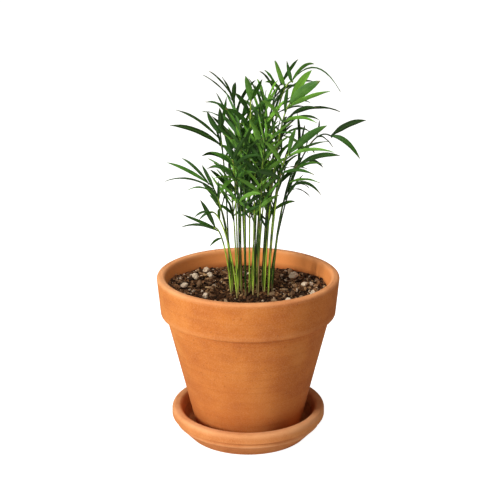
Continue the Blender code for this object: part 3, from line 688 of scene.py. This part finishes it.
# What a stalk or leaflet tries until it hangs clear: millimetres back and forth, and up
# and down, degrees to the side and up, and shares of its length.
BACK_TRIES = (0, 4, -4, 8, -8, 12, -12, 16, -16)
LIFT_TRIES = (0, 2, -2, 4, -4)
SIDE_TRIES = (0, 8, -8, 16, -16)
TILT_TRIES = (0, 14, -14, 28, -28)
SET_SHARES = (1, 0.88, 0.76)
INNER_SHARES = (1, 0.85, 0.7)

# The rule of the inner fronds, in degrees from the rachis: the last pair, the lowest
# pair, how much the pairs above it close, and how far the leaflets rise.
LAST_SPREAD, LOW_SPREAD, CLOSING = 15, 50, 22
LEAST_SPREAD = 8
LEAF_RISE = 14
LOWEST_SIZE, LEAF_SIZE = 0.8, 0.95  # the lowest pair's and the others', to the table's
LEAF_ARCH = 0.07  # as a share of a leaflet's length


def stalk_pull(frond, root, tip):
    """The way a stalk leans, and the two points that pull it up and then over."""
    rise, arch = frond[2][2], frond[3]
    flat = Vector((tip.x - root.x, tip.y - root.y, 0))
    upright = max(0, 1 - flat.length / LEANING)
    low = root + flat * LOW_LEAN + UP * LOW_RISE * (tip.z - root.z)
    high = tip - flat * HIGH_LEAN + UP * (arch * MM - HIGH_SAG * rise * RISE * upright)
    return flat, low, high


def stalk_line(frond, push, steps=40):
    """Points up the middle of a stalk, from the root to the tip of its rachis."""
    (root_x, root_y), (tip_x, tip_y, rise) = frond[1:3]
    root = Vector((root_x * MM, root_y * MM, SOIL_Z - ROOTED))
    tip = Vector((tip_x * MM, tip_y * MM + push, SOIL_Z + rise * RISE))
    _, low, high = stalk_pull(frond, root, tip)
    line = []
    for k in range(steps + 1):
        t = k / steps
        line.append(root * (1 - t) ** 3 + low * 3 * t * (1 - t) ** 2
                    + high * 3 * t * t * (1 - t) + tip * t ** 3)
    return line


def length_of(line):
    return sum((b - a).length for a, b in zip(line, line[1:]))


def walk(line, distance):
    """Point and direction that far along the line."""
    for a, b in zip(line, line[1:]):
        step = (b - a).length
        if distance <= step or b is line[-1]:
            return a + (b - a) * (distance / step), (b - a).normalized()
        distance -= step


def across(line, direction, roll=0):
    """Sideways and upper directions of a stalk, square to its own direction."""
    heading = Vector((line[-1].x - line[0].x, line[-1].y - line[0].y, 0))
    side = heading.cross(UP)
    side = (side - direction * side.dot(direction)).normalized()
    side = Matrix.Rotation(math.radians(roll), 3, direction) @ side
    return side, side.cross(direction)


def stalk_radius(share):
    """Radius of a stalk at a share of its length."""
    return STALK_RADIUS + (RACHIS_RADIUS - STALK_RADIUS) * share ** THINNING


def stalk_ring(line, distance, grow=0):
    """Four corners of the stalk's section, a little wider than deep."""
    middle, direction = walk(line, distance)
    side, top = across(line, direction)
    radius = stalk_radius(max(0, distance) / length_of(line))
    a, b = side * (radius + grow), top * (radius * 0.85 + grow)
    return [middle + a + b, middle - a + b, middle - a - b, middle + a - b]


def bow_of(leaf, share):
    """Point and direction at a share of a leaflet's length, on the bow of its midrib."""
    base, tip, arch = leaf[:3]
    crown = (base + tip) / 2 + UP * 2 * arch
    point = base * (1 - share) ** 2 + crown * 2 * share * (1 - share) + tip * share ** 2
    return point, ((crown - base) * (1 - share) + (tip - crown) * share).normalized()


def leaf_rings(leaf, grow=0):
    """Sections of a leaflet from its base to its tip, four corners each."""
    width, broad = leaf[3:]
    rings = []
    for share, part in LEAF_OUTLINE:
        point, along = bow_of(leaf, share)
        face = along.cross(broad).normalized()
        half = face.cross(along) * (width * part / 2 + grow)
        thick = face * (LEAF_THICKNESS / 2 + grow)
        rings.append([point + half + thick, point + half - thick,
                      point - half - thick, point - half + thick])
    return rings


def tree_of(rings):
    """A closed tube through the rings, for finding what it touches."""
    corners = [corner for ring in rings for corner in ring]
    last = len(corners) - 4
    faces = [(0, 1, 2, 3)]
    for k in range(0, last, 4):
        for j, n in ((0, 1), (1, 2), (2, 3), (3, 0)):
            faces.append((k + j, k + n, k + 4 + n, k + 4 + j))
    faces.append((last, last + 1, last + 2, last + 3))
    return BVHTree.FromPolygons(corners, faces)


def stalk_tree(line, grow=0):
    length = length_of(line)
    return tree_of([stalk_ring(line, length * k / 14, grow) for k in range(15)])


def set_leaves(frond, line):
    """For each leaflet of a set frond, the places it may take, the best first."""
    length = length_of(line)
    for below, x, y, height, width, arch, turn in frond[4]:
        root, _ = walk(line, length - max(below * MM, JOINT / 2))
        places = []
        for share in SET_SHARES:
            for back in BACK_TRIES:
                for lift in LIFT_TRIES:
                    aim = Vector((x * MM, (y + back) * MM, SOIL_Z + height * RISE + lift * MM))
                    reach = (aim - root) * share
                    along = reach.normalized()
                    broad = Matrix.Rotation(math.radians(turn), 3, along) @ along.cross(BACK)
                    places.append((root, root + reach, arch * share * MM, width * MM, broad))
        yield below * MM, places


def inner_leaves(frond, line, chance):
    """The same for an inner frond: pairs from the rachis tip down, then the rule's turns."""
    blade, pairs, leaf, roll = frond[4]
    length = length_of(line)
    for pair in range(pairs, -1, -1):
        below = blade * MM * (1 - pair / pairs)
        root, direction = walk(line, length - max(below, JOINT / 2))
        side, top = across(line, direction, roll)
        spread = LAST_SPREAD if pair == pairs else LOW_SPREAD - CLOSING * pair / (pairs - 1)
        size = leaf * MM * (LOWEST_SIZE if pair == 0 else LEAF_SIZE) * RISE / MM
        for sign in (1, -1):
            turn, tilt = chance.uniform(-8, 8), chance.uniform(-8, 8)
            reach, bend = size * chance.uniform(0.9, 1.1), chance.uniform(0.5, 1.5)
            places = []
            for share in INNER_SHARES:
                for wider in SIDE_TRIES:
                    for higher in TILT_TRIES:
                        a = math.radians(max(LEAST_SPREAD, spread + turn + wider))
                        b = math.radians(LEAF_RISE + tilt + higher)
                        out = (side * sign * math.cos(b) + top * math.sin(b)).normalized()
                        along = (direction * math.cos(a) + out * math.sin(a)).normalized()
                        arch = LEAF_ARCH * reach * share * bend
                        tip = root + along * reach * share - UP * 2 * arch
                        broad = direction if a > 0.35 else out
                        broad = (broad - along * broad.dot(along)).normalized()
                        places.append((root, tip, arch, INNER_LEAF_WIDTH, broad))
            yield below, places


def hangs_clear(rings, skip, others, beside):
    """Whether a leaflet touches nothing: its own frond's pieces only past its first rings."""
    whole, free = tree_of(rings[skip:]), tree_of(rings[skip + 1:])
    return not (any(whole.overlap(other) for other in others)
                or any(free.overlap(other) for other in beside))


def grow_plant():
    """Every frond as (name, line, leaflets), each leaflet with its place on the rachis.

    Stalks come first, each in its own way up, and then the leaflets, each turned,
    raised or shortened as far as it must be to hang clear of what is there.
    """
    chance = random.Random(7)
    fronds = SET_FRONDS + INNER_FRONDS
    lines, stalks = [], []
    for frond in fronds:
        for push in BACK_TRIES:
            line = stalk_line(frond, push * MM)
            room = stalk_tree(line, LEAF_CLEARANCE)
            if not any(room.overlap(other) for other in stalks):
                break
        lines.append(line)
        stalks.append(stalk_tree(line))
    grown, taken = [], []
    for own, (frond, line) in enumerate(zip(fronds, lines)):
        others = stalks[:own] + stalks[own + 1:] + taken
        set_row = isinstance(frond[4], list)
        wanted = set_leaves(frond, line) if set_row else inner_leaves(frond, line, chance)
        leaves, beside = [], [stalks[own]]
        for below, places in wanted:
            for leaf in places:
                if not hangs_clear(leaf_rings(leaf, LEAF_CLEARANCE), 0, others, beside):
                    continue
                leaves.append((below, leaf))
                beside.append(tree_of(leaf_rings(leaf)[1:]))
                taken.append(tree_of(leaf_rings(leaf)))
                break
        grown.append((frond[0], line, leaves))
    return grown


def fill_in(grown):
    """Narrow leaflets between the pairs of the inner fronds, where there is room for them."""
    chance = random.Random(33)
    rows = {frond[0]: frond for frond in INNER_FRONDS}
    stalks = {name: stalk_tree(line) for name, line, _ in grown}
    taken = [tree_of(leaf_rings(leaf)) for _, _, leaves in grown for _, leaf in leaves]
    for name, line, leaves in grown:
        if name not in rows:
            continue
        frond = rows[name]
        blade_length, pairs, leaf_length, _ = frond[4]
        length, count = length_of(line), 2 * pairs + 2
        others = [tree for other, tree in stalks.items() if other != name] + taken
        beside = [stalks[name]]
        for place in range(2 * count):
            below = blade_length * MM * FILL_STRETCH * (place // 2 + 0.5) / count
            root, direction = walk(line, length - below)
            side, top = across(line, direction)
            for _ in range(FILL_TRIES):
                a = math.radians(chance.uniform(16, 42))
                b = math.radians(chance.uniform(0, 75))
                out = side * (1 if place % 2 else -1) * math.cos(b) + top * math.sin(b)
                along = direction * math.cos(a) + out * math.sin(a)
                reach = leaf_length * MM * chance.uniform(0.7, 1.05)
                arch = 0.05 * reach * chance.uniform(0.2, 1.8)
                broad = along.cross(BACK).normalized()
                broad = Matrix.Rotation(chance.uniform(-1.2, 1.2), 3, along) @ broad
                leaf = (root, root + along * reach - UP * 2 * arch, arch, FILL_WIDTH, broad)
                if not hangs_clear(leaf_rings(leaf), 1, others, beside):
                    continue
                leaves.append((below, leaf))
                beside.append(tree_of(leaf_rings(leaf)[1:]))
                taken.append(beside[-1])
                break
    return grown


def smooth_shape(share):
    """Half width of a blade at a share of its length, as a part of its widest."""
    for (a, low), (b, high) in zip(BLADE_SHAPE, BLADE_SHAPE[1:]):
        if share <= b:
            t = (share - a) / (b - a)
            return low + (high - low) * t * t * (3 - 2 * t) * 0.5 + (high - low) * t * 0.5
    return BLADE_SHAPE[-1][1]


def model_blade():
    """One flat leaflet with a real thickness: 1 long, 2 across and 2 thick."""
    blade = new_piece("blade", bpy.ops.mesh.primitive_grid_add,
                      x_subdivisions=BLADE_ROWS, y_subdivisions=BLADE_STRIPS, size=1)
    for vertex in blade.data.vertices:
        vertex.co = (vertex.co.x + 0.5, vertex.co.y * 2, 0)
    wall = blade.modifiers.new("Wall", "SOLIDIFY")
    wall.thickness = 2
    wall.offset = 0
    bpy.ops.object.modifier_apply(modifier="Wall")
    bpy.ops.object.shade_smooth_by_angle(angle=CRISP_LEAF)
    return blade


def joined(piece, others):
    """The piece, with the others joined to it."""
    bpy.ops.object.select_all(action="DESELECT")
    for each in (piece, *others):
        each.select_set(True)
    bpy.context.view_layer.objects.active = piece
    bpy.ops.object.join()
    return piece


def lay_blade(blade, leaf, tone, most_twist, chance):
    """A copy of the blade laid along its leaflet's bow, folded, twisted and tapered."""
    base, tip, _, width, broad = leaf
    piece = blade.copy()
    piece.data = blade.data.copy()
    bpy.context.scene.collection.objects.link(piece)
    face_up = 1 if (tip - base).cross(broad).z >= 0 else -1
    twist = chance.uniform(-most_twist, most_twist)
    wide = width / MM
    slim = 0.58 + 0.12 * between(wide, 3.5, 4.8) + 0.32 * between(wide, 4.8, 7.0)
    sway = chance.uniform(-BLADE_SWAY, BLADE_SWAY) * (tip - base).length
    fold = BLADE_FOLD * chance.uniform(0.5, 1.3)
    ripple = chance.uniform(0.3, 1.0) * BLADE_RIPPLE
    phase = chance.uniform(0, 6)
    along, aside, under = [], [], []
    for vertex in piece.data.vertices:
        share, side, face = vertex.co
        share = min(max(share, 0.0), 1.0)
        point, ahead = bow_of(leaf, share)
        top = ahead.cross(broad).normalized() * face_up
        top = Matrix.Rotation(twist * share, 3, ahead) @ top
        across_it = top.cross(ahead)
        half = width / 2 * smooth_shape(share) * slim
        lift = abs(side) * half * fold + ripple * math.sin(share * 17 + side * 1.5 + phase)
        thick = BLADE_THICKNESS * (0.7 if abs(side) > 0.9 else 1.0 + 0.5 * (side == 0))
        middle = point + across_it * (side * half + sway * math.sin(math.pi * share))
        vertex.co = middle + top * (lift + face * thick / 2)
        along.append(share)
        aside.append(side)
        under.append(1.0 if face < 0 else 0.0)
    count = len(along)
    dry = chance.random() ** 3
    write_marks(piece, along=along, aside=aside, under=under, tone=[tone] * count,
                dry=[dry] * count)
    return piece


def grow_stalk(name, frond, line, tan, chance):
    """The stalk as a curve through its control points, thick at the foot and thin at the tip."""
    root, tip = line[0], line[-1]
    flat, low, high = stalk_pull(frond, root, tip)
    bpy.ops.object.select_all(action="DESELECT")
    bpy.ops.curve.primitive_bezier_curve_add()
    stalk = bpy.context.object
    stalk.name = name
    first, last = stalk.data.splines[0].bezier_points
    for point in (first, last):
        point.handle_left_type = point.handle_right_type = "FREE"
    first.co, first.handle_left, first.handle_right = root, root - UP * 0.01, low
    last.co, last.handle_left, last.handle_right = tip, high, tip + flat * 0.1
    stalk.data.resolution_u = 48
    stalk.data.bevel_depth = MM
    stalk.data.bevel_resolution = 3
    stalk.data.use_fill_caps = True
    bpy.ops.object.convert(target="MESH")
    stalk = bpy.context.object
    points = stalk.data.vertices
    # The points come ring by ring, and the next ring starts more than a width away.
    sides = next(k for k in range(4, 40) if (points[k].co - points[0].co).length > 2.2 * MM)
    length, walked, before = length_of(line), 0.0, None
    knots = [chance.uniform(0.018, 0.030) * (k + 1) + chance.uniform(0, 0.006)
             for k in range(KNOTS)]
    along, aside = [], []
    for start in range(0, len(points), sides):
        ring = range(start, start + sides)
        middle = sum((points[k].co for k in ring), Vector()) / sides
        walked += (middle - before).length if before else 0
        before = middle
        height = middle.z - SOIL_Z
        foot = 1 - between(height, 0, SHEATH_HEIGHT)
        knot = sum(near(height, at, KNOT_WIDTH) for at in knots)
        scar = max(near(height, at, SCAR_WIDTH) for at in knots)
        radius = stalk_radius(min(1, walked / length))
        radius *= 1 + SHEATH_SWELL * foot ** 2 + KNOT_SWELL * knot
        for k in ring:
            out = points[k].co - middle
            points[k].co = middle + out.normalized() * radius
            along.append(max(0.0, height))
            aside.append(scar)
    count = len(points)
    work_on(stalk)
    bpy.ops.object.shade_smooth_by_angle(angle=CRISP_STALK)
    tone = chance.uniform(-1, 1)
    write_marks(stalk, along=along, aside=aside, under=[0.0] * count, tone=[tone] * count,
                dry=[tan] * count)
    return stalk


def palm_leaf(name):
    """Glossy pleated blade: veins along it, a paler midrib, tips that wither to tan."""
    finish, tree, place = new_finish(name)
    aside = read_mark(tree, "aside")
    patch = noise_of(tree, place, 95.0, detail=3.0)
    mood = sums(tree, "MULTIPLY_ADD", patch, 0.5, 0.22)
    mood = sums(tree, "MULTIPLY_ADD", read_mark(tree, "tone"), 0.50, mood)
    colour = ramp(tree, mood, [(0.14, LEAF_DEEP), (0.48, LEAF_GREEN), (0.84, LEAF_BRIGHT)])
    veins = sums(tree, "SINE", sums(tree, "MULTIPLY", aside, 21.0))
    colour = blend(tree, fade(tree, veins, 0.35, 1.0, 0, 0.22), colour, LEAF_BRIGHT)
    rib = sums(tree, "MULTIPLY", sums(tree, "ABSOLUTE", aside), 5.5)
    rib = sums(tree, "SUBTRACT", 1.0, rib)
    colour = blend(tree, fade(tree, rib, 0.1, 0.9, 0, 0.55), colour, LEAF_MIDRIB)
    under = sums(tree, "MULTIPLY", read_mark(tree, "under"), 0.18)
    colour = blend(tree, under, colour, LEAF_SILVER)
    end = fade(tree, read_mark(tree, "along"), 0.86, 1.0)
    end = sums(tree, "MULTIPLY", end, read_mark(tree, "dry"))
    colour = blend(tree, end, colour, LEAF_DRY)

    relief = sums(tree, "ADD", sums(tree, "MULTIPLY", veins, 0.25), fade(tree, rib, 0, 1))
    rough = fade(tree, patch, 0.3, 0.7, 0.38, 0.52)
    shader = set_surface(
        tree, colour, rough, specular=0.24, relief=relief, strength=0.5, depth=0.00012)
    glow = add_node(tree, "ShaderNodeBsdfTranslucent", {"Color": LEAF_GLOW})
    layers = {0: LEAF_SHEER, 1: shader.outputs[0], 2: glow.outputs[0]}
    mixed = add_node(tree, "ShaderNodeMixShader", layers)
    tree.links.new(mixed.outputs[0], tree.nodes["Material Output"].inputs["Surface"])
    return finish


def palm_stalk(name):
    """Smooth stalk: tan and papery at the foot, green above, with pale leaf scars."""
    finish, tree, place = new_finish(name)
    height = read_mark(tree, "along")
    streaks = noise_of(tree, stretched(tree, place, (1300, 1300, 32)), 1.0, detail=3.0)
    patch = noise_of(tree, place, 60.0, detail=2.0)
    mood = sums(tree, "MULTIPLY_ADD", patch, 0.25, sums(tree, "MULTIPLY", streaks, 0.85))
    mood = sums(tree, "MULTIPLY_ADD", read_mark(tree, "tone"), 0.14, mood)
    shade = fade(tree, sums(tree, "MULTIPLY", height, 10.0), 0.10, 0.65, 0, 0.09)
    mood = sums(tree, "SUBTRACT", mood, shade)
    colour = ramp(tree, mood, [(0.44, STALK_GREEN), (0.68, STALK_LIGHT)])
    dried = ramp(tree, streaks, [(0.35, STALK_BROWN), (0.60, STALK_TAN)])
    reach = sums(tree, "MULTIPLY_ADD", streaks, 0.016, -0.004)
    reach = sums(tree, "MULTIPLY_ADD", read_mark(tree, "dry"), TAN_HEIGHT, reach)
    foot = sums(tree, "SUBTRACT", reach, height)
    foot = fade(tree, sums(tree, "MULTIPLY_ADD", foot, 160.0, 0.5), 0, 1, 0, 0.9)
    colour = blend(tree, foot, colour, dried)
    scar = sums(tree, "MULTIPLY", read_mark(tree, "aside"), 0.5)
    colour = blend(tree, scar, colour, STALK_TAN)
    rough = fade(tree, streaks, 0.3, 0.7, 0.36, 0.54)
    set_surface(tree, colour, rough, specular=0.28, relief=streaks, strength=0.35, depth=0.00015)
    return finish


blade = model_blade()
leaf_finish = palm_leaf("palm_leaf")
stalk_finish = palm_stalk("palm_stalk")
variety = random.Random(21)
frond_rows = {frond[0]: frond for frond in SET_FRONDS + INNER_FRONDS}
stalk_feet = []
for node, line, leaves in fill_in(grow_plant()):
    name = node.replace("frond_", "palm_frond_")
    inner = "inner" in node
    tones = MIDDLE_TONES if inner else OUTER_TONES
    twist = INNER_TWIST if inner else OUTER_TWIST
    tan = TAN_SHARE if node in TAN_STALKS else 0.0
    stalk = grow_stalk(name, frond_rows[node], line, tan, variety)
    stalk.data.materials.append(stalk_finish)
    blades = []
    for _, leaf in leaves:
        # the frond's share of the tone is partly painted light and shade; the leaflet's share is
        # random
        tone = TONES.get(node, 0.0) + variety.choice(tones) + variety.uniform(-0.2, 0.2)
        blades.append(lay_blade(blade, leaf, tone, twist, variety))
        blades[-1].data.materials.append(leaf_finish)
    joined(stalk, blades)
    stalk_feet.append(walk(line, ROOTED)[0])
    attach(stalk, "root")
    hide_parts(node)
bpy.data.objects.remove(blade)

# ---------------------------------------------------------------------------
# Crumbs. Loose bits of peat and bark, one to a few millimetres long, lying all
# over the soil and against the feet of the stalks.
# ---------------------------------------------------------------------------
CRUMBS = 3000
CRUMB_SIZES = (0.0004, 0.0012)  # half a crumb's width
CRUMB_ROOM = 0.0016  # kept free from the middle of each stalk
WATERED_Y = (-0.024, -0.012)  # in front of these the crumbs are painted darker, as painted shade from the pot's near rim, and behind them not
WATERED_SHADE = 0.55


def rough_lumps(name, count, subdivisions, jag, step):
    """Rounded lumps about 2 across, each pushed in and out so that it looks broken."""
    lumps = []
    for k in range(count):
        lump = new_piece(f"{name}_{k}", bpy.ops.mesh.primitive_ico_sphere_add,
                         subdivisions=subdivisions, radius=1)
        for vertex in lump.data.vertices:
            push = noise.noise(vertex.co * 1.3 + Vector((k * step, 0, 0)))
            vertex.co *= 1 + jag * push + jag * 0.4 * noise.noise(vertex.co * 3.7)
        lumps.append(lump)
    return lumps


def free_place(chance, reach, clear):
    """A point on the soil that no stalk stands in."""
    while True:
        radius, turn = reach * math.sqrt(chance.random()), chance.uniform(0, 2 * math.pi)
        x, y = radius * math.cos(turn), radius * math.sin(turn)
        if all(math.hypot(x - foot.x, y - foot.y) > clear for foot in stalk_feet):
            return x, y


def strew(name, templates, places):
    """Copies the lumps to their places, each with its own sizes and turn, as one piece."""
    copies = []
    for k, (x, y, z, sizes, turns, shade) in enumerate(places):
        template = templates[k % len(templates)]
        copy = template.copy()
        copy.data = template.data.copy()
        spin = Matrix.Rotation(turns[2], 4, "Z") @ Matrix.Rotation(turns[0], 4, "X")
        spin = spin @ Matrix.Rotation(turns[1], 4, "Y")
        copy.data.transform(Matrix.Translation((x, y, z)) @ spin @ Matrix.Diagonal((*sizes, 1)))
        write_marks(copy, shade=[shade] * len(copy.data.vertices))
        bpy.context.scene.collection.objects.link(copy)
        copies.append(copy)
    piece = joined(copies[0], copies[1:])
    piece.name = piece.data.name = name
    for template in templates:
        bpy.data.objects.remove(template)
    return piece


def crumb_finish(name, stops):
    """Bits of one kind whose colour runs from bit to bit through the stops."""
    finish, tree, place = new_finish(name)
    patch = noise_of(tree, place, 700.0, detail=4.0, rough=0.65)
    shade = sums(tree, "SUBTRACT", read_mark(tree, "shade"), 0.25)
    colour = ramp(tree, sums(tree, "MULTIPLY_ADD", patch, 0.5, shade), stops)
    rough = fade(tree, patch, 0.3, 0.7, 0.70, 0.95)
    set_surface(tree, colour, rough, specular=0.15, relief=patch, strength=0.8, depth=0.0004)
    return finish


scatter = random.Random(5)
inner_edge = pot_inner_radius(SOIL_Z) - 0.0012
crumb_places = []
for _ in range(CRUMBS):
    x, y = free_place(scatter, inner_edge, CRUMB_ROOM)
    size = scatter.uniform(*CRUMB_SIZES) * (1.5 if scatter.random() < 0.12 else 1)
    sizes = (size * scatter.uniform(0.9, 2.6), size, size * scatter.uniform(0.45, 0.9))
    turns = [scatter.uniform(-0.9, 0.9), scatter.uniform(-0.7, 0.7), scatter.uniform(0, 6.3)]
    height = crumbly_height(x, y) + size * scatter.uniform(0, 0.7)
    # painted shade: the crumbs at the front are darker, as if in the near rim's shadow
    dry = WATERED_SHADE + (1 - WATERED_SHADE) * between(y, *WATERED_Y)
    crumb_places.append((x, y, height, sizes, turns, scatter.random() ** 1.2 * dry))
crumbs = strew("soil_crumbs", rough_lumps("crumb", 3, 1, 0.95, 9.1), crumb_places)
crumbs.data.materials.append(crumb_finish("crumbs", [
    (0.15, SOIL_BLACK), (0.45, SOIL_DARK), (0.78, SOIL_BROWN), (0.98, SOIL_TAN)]))
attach(crumbs, "root")

# ---------------------------------------------------------------------------
# Perlite. Puffed mineral grains, white to tan, loose in the mix to keep it open.
# The largest stand in the places of their solids, and smaller ones lie round
# them, most at the left, the right and the back.
# ---------------------------------------------------------------------------
SMALL_PERLITE = 460
PERLITE_ROOM = 0.0028  # kept free from the middle of each stalk
PERLITE_SIDE = 0.048  # this far to the left or right it lies thickest
PERLITE_BACK = 0.03
PERLITE_STOPS = [(0.12, (0.15, 0.075, 0.038)), (0.45, (0.36, 0.21, 0.120)),
                 (0.85, (0.62, 0.48, 0.36))]


def grain_places(prefix, chance, tilt, shades):
    """Place, half sizes and shade of each solid grain of that name."""
    found = []
    for node in sorted(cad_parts):
        if node.startswith(prefix):
            low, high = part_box(node)
            middle, half = (low + high) / 2, (high - low) / 2
            turns = [chance.uniform(-tilt, tilt), chance.uniform(-tilt, tilt), 0]
            found.append((node, (*middle, tuple(half * 0.98), turns, chance.uniform(*shades))))
    return found


solid_grains = grain_places("perlite", scatter, 0.1, (0.72, 1.0))
large = strew("perlite_grains_large", rough_lumps("grain", 4, 3, 0.55, 5.3),
              [place for _, place in solid_grains])
perlite_places = []
while len(perlite_places) < SMALL_PERLITE:
    x, y = free_place(scatter, inner_edge - 0.001, PERLITE_ROOM)
    wanted = 0.05 + 0.95 * min(1, abs(x) / PERLITE_SIDE) ** 2
    wanted += 0.35 if y > PERLITE_BACK else 0
    # fewer pale grains at the front too, under the near rim's painted shade
    wanted *= 0.35 if y < WATERED_Y[0] else 1
    if scatter.random() > wanted:
        continue
    size = 0.0004 + 0.0012 * scatter.random() ** 3
    sizes = (size * scatter.uniform(0.9, 1.3), size, size * scatter.uniform(0.6, 0.95))
    turns = [scatter.uniform(-1, 1), scatter.uniform(-1, 1), scatter.uniform(0, 6.3)]
    height = crumbly_height(x, y) + size * 0.45
    perlite_places.append((x, y, height, sizes, turns, scatter.random()))
small = strew("perlite_grains_small", rough_lumps("grain", 4, 1, 0.75, 5.3), perlite_places)
perlite_finish = crumb_finish("perlite", PERLITE_STOPS)
for perlite in (large, small):
    work_on(perlite)
    bpy.ops.object.shade_smooth_by_angle(angle=CRISP_CLAY)
    perlite.data.materials.append(perlite_finish)
    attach(perlite, "root")
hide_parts(*[node for node, _ in solid_grains])

# ---------------------------------------------------------------------------
# Bark. Torn chips of composted bark, flat and fibrous, lying loose on the soil.
# The largest stand in the places of their solids.
# ---------------------------------------------------------------------------
SMALL_BARK = 150
BARK_ROOM = 0.0035
BARK_SIZES = (0.0012, 0.0038)  # half a chip's length
BARK_STOPS = [(0.12, (0.020, 0.010, 0.006)), (0.45, (0.075, 0.034, 0.017)),
              (0.75, (0.165, 0.088, 0.045)), (0.97, (0.32, 0.20, 0.115))]


def torn_chip(name, seed):
    """A flat chip 2 long, with ends torn along the grain."""
    chip = new_piece(name, bpy.ops.mesh.primitive_cube_add, size=2)
    work_on(chip, "EDIT")
    bpy.ops.mesh.subdivide(number_cuts=2, smoothness=0.3)
    bpy.ops.object.mode_set(mode="OBJECT")
    for vertex in chip.data.vertices:
        along, aside, up = vertex.co
        tear = noise.noise(Vector((seed, aside * 2.1, up)))
        taper = 1 - 0.35 * abs(along) ** 2 + 0.3 * noise.noise(Vector((along * 1.5, seed, 2)))
        vertex.co = (along * (0.85 + 0.35 * tear), aside * taper,
                     up * taper + 0.25 * noise.noise(Vector((along * 1.2, aside, seed))))
    return chip


solid_chips = grain_places("bark", scatter, 0.05, (0.55, 0.95))
bark_places = [place for _, place in solid_chips]
for _ in range(SMALL_BARK):
    x, y = free_place(scatter, inner_edge - 0.004, BARK_ROOM)
    size = scatter.uniform(*BARK_SIZES)
    sizes = (size, size * scatter.uniform(0.3, 0.55), size * scatter.uniform(0.14, 0.25))
    turns = [scatter.uniform(-0.35, 0.35), scatter.uniform(-0.35, 0.35), scatter.uniform(0, 6.3)]
    bark_places.append((x, y, crumbly_height(x, y) + 0.0006, sizes, turns, scatter.random()))
bark = strew("bark_chips", [torn_chip(f"chip_{k}", k * 3.7) for k in range(3)], bark_places)
bark.data.materials.append(crumb_finish("bark", BARK_STOPS))
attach(bark, "root")
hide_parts(*[node for node, _ in solid_chips])

# ---------------------------------------------------------------------------
# Studio. A wide pale floor, a large soft lamp on the left in front, a weak one
# straight in front, one overhead, and a long lens that looks slightly down.
# ---------------------------------------------------------------------------
FLOOR_RADIUS = 9.0
FLOOR_Z = -0.0004
LAMP_AIM = Vector((0, 0, 0.12))
VIEW_TARGET = Vector((0.0015, 0, 0.1582))
VIEW_DISTANCE = 0.950
VIEW_ELEVATION = math.radians(17.35)
LENS = 84.3  # millimetres, on a sensor 36 wide

floor = new_piece("studio_floor", bpy.ops.mesh.primitive_circle_add, vertices=128,
                  radius=FLOOR_RADIUS, fill_type="NGON", location=(0, 0, FLOOR_Z))
floor_finish, floor_tree, floor_place = new_finish("floor")
floor_colour = fade(
    floor_tree, noise_of(floor_tree, floor_place, 3.0, detail=2.0), 0.2, 0.8, 0.52, 0.55)
floor_shader = floor_tree.nodes["Principled BSDF"]
floor_tree.links.new(floor_colour, floor_shader.inputs["Base Color"])
floor_shader.inputs["Roughness"].default_value = 0.9
floor_shader.inputs["Specular IOR Level"].default_value = 0.1
floor_shader.inputs["Emission Color"].default_value = (1, 1, 1, 1)
floor_seen = add_node(floor_tree, "ShaderNodeLightPath").outputs["Is Camera Ray"]
floor_glow = sums(floor_tree, "MULTIPLY_ADD", floor_seen, 0.83, 0.12)
floor_tree.links.new(floor_glow, floor_shader.inputs["Emission Strength"])
floor.data.materials.append(floor_finish)


def soft_lamp(name, place, size, power, colour=(1, 1, 1)):
    """A round lamp turned to the pot."""
    bpy.ops.object.light_add(type="AREA", location=place)
    lamp = bpy.context.object
    lamp.name = name
    lamp.data.shape = "DISK"
    lamp.data.size = size
    lamp.data.energy = power
    lamp.data.color = colour
    lamp.rotation_euler = (LAMP_AIM - Vector(place)).to_track_quat("-Z", "Y").to_euler()


soft_lamp("main_lamp", (-1.60, -1.35, 0.88), size=0.80, power=51, colour=(0.95, 1.0, 0.93))
soft_lamp("fill_lamp", (0.2, -2.0, 0.7), size=1.0, power=3.5)
soft_lamp("top_lamp", (-0.2, -0.3, 1.9), size=1.0, power=20)

world = bpy.data.worlds.new("studio")
bpy.context.scene.world = world
world.use_nodes = True
sky = world.node_tree.nodes["Background"]
seen = add_node(world.node_tree, "ShaderNodeLightPath").outputs["Is Camera Ray"]
tint = blend(world.node_tree, seen, (1, 0.82, 0.66, 1), (1, 1, 1, 1))
world.node_tree.links.new(tint, sky.inputs["Color"])
level = sums(world.node_tree, "MULTIPLY_ADD", seen, 0.90, 0.19)
world.node_tree.links.new(level, sky.inputs["Strength"])
bpy.context.scene.view_settings.view_transform = "Standard"

back_off = Vector((0, -math.cos(VIEW_ELEVATION), math.sin(VIEW_ELEVATION)))
bpy.ops.object.camera_add(location=VIEW_TARGET + back_off * VIEW_DISTANCE)
camera = bpy.context.object
camera.rotation_euler = (-back_off).to_track_quat("-Z", "Y").to_euler()
camera.data.lens = LENS
camera.data.sensor_width = 36
camera.data.clip_end = 50
bpy.context.scene.camera = camera
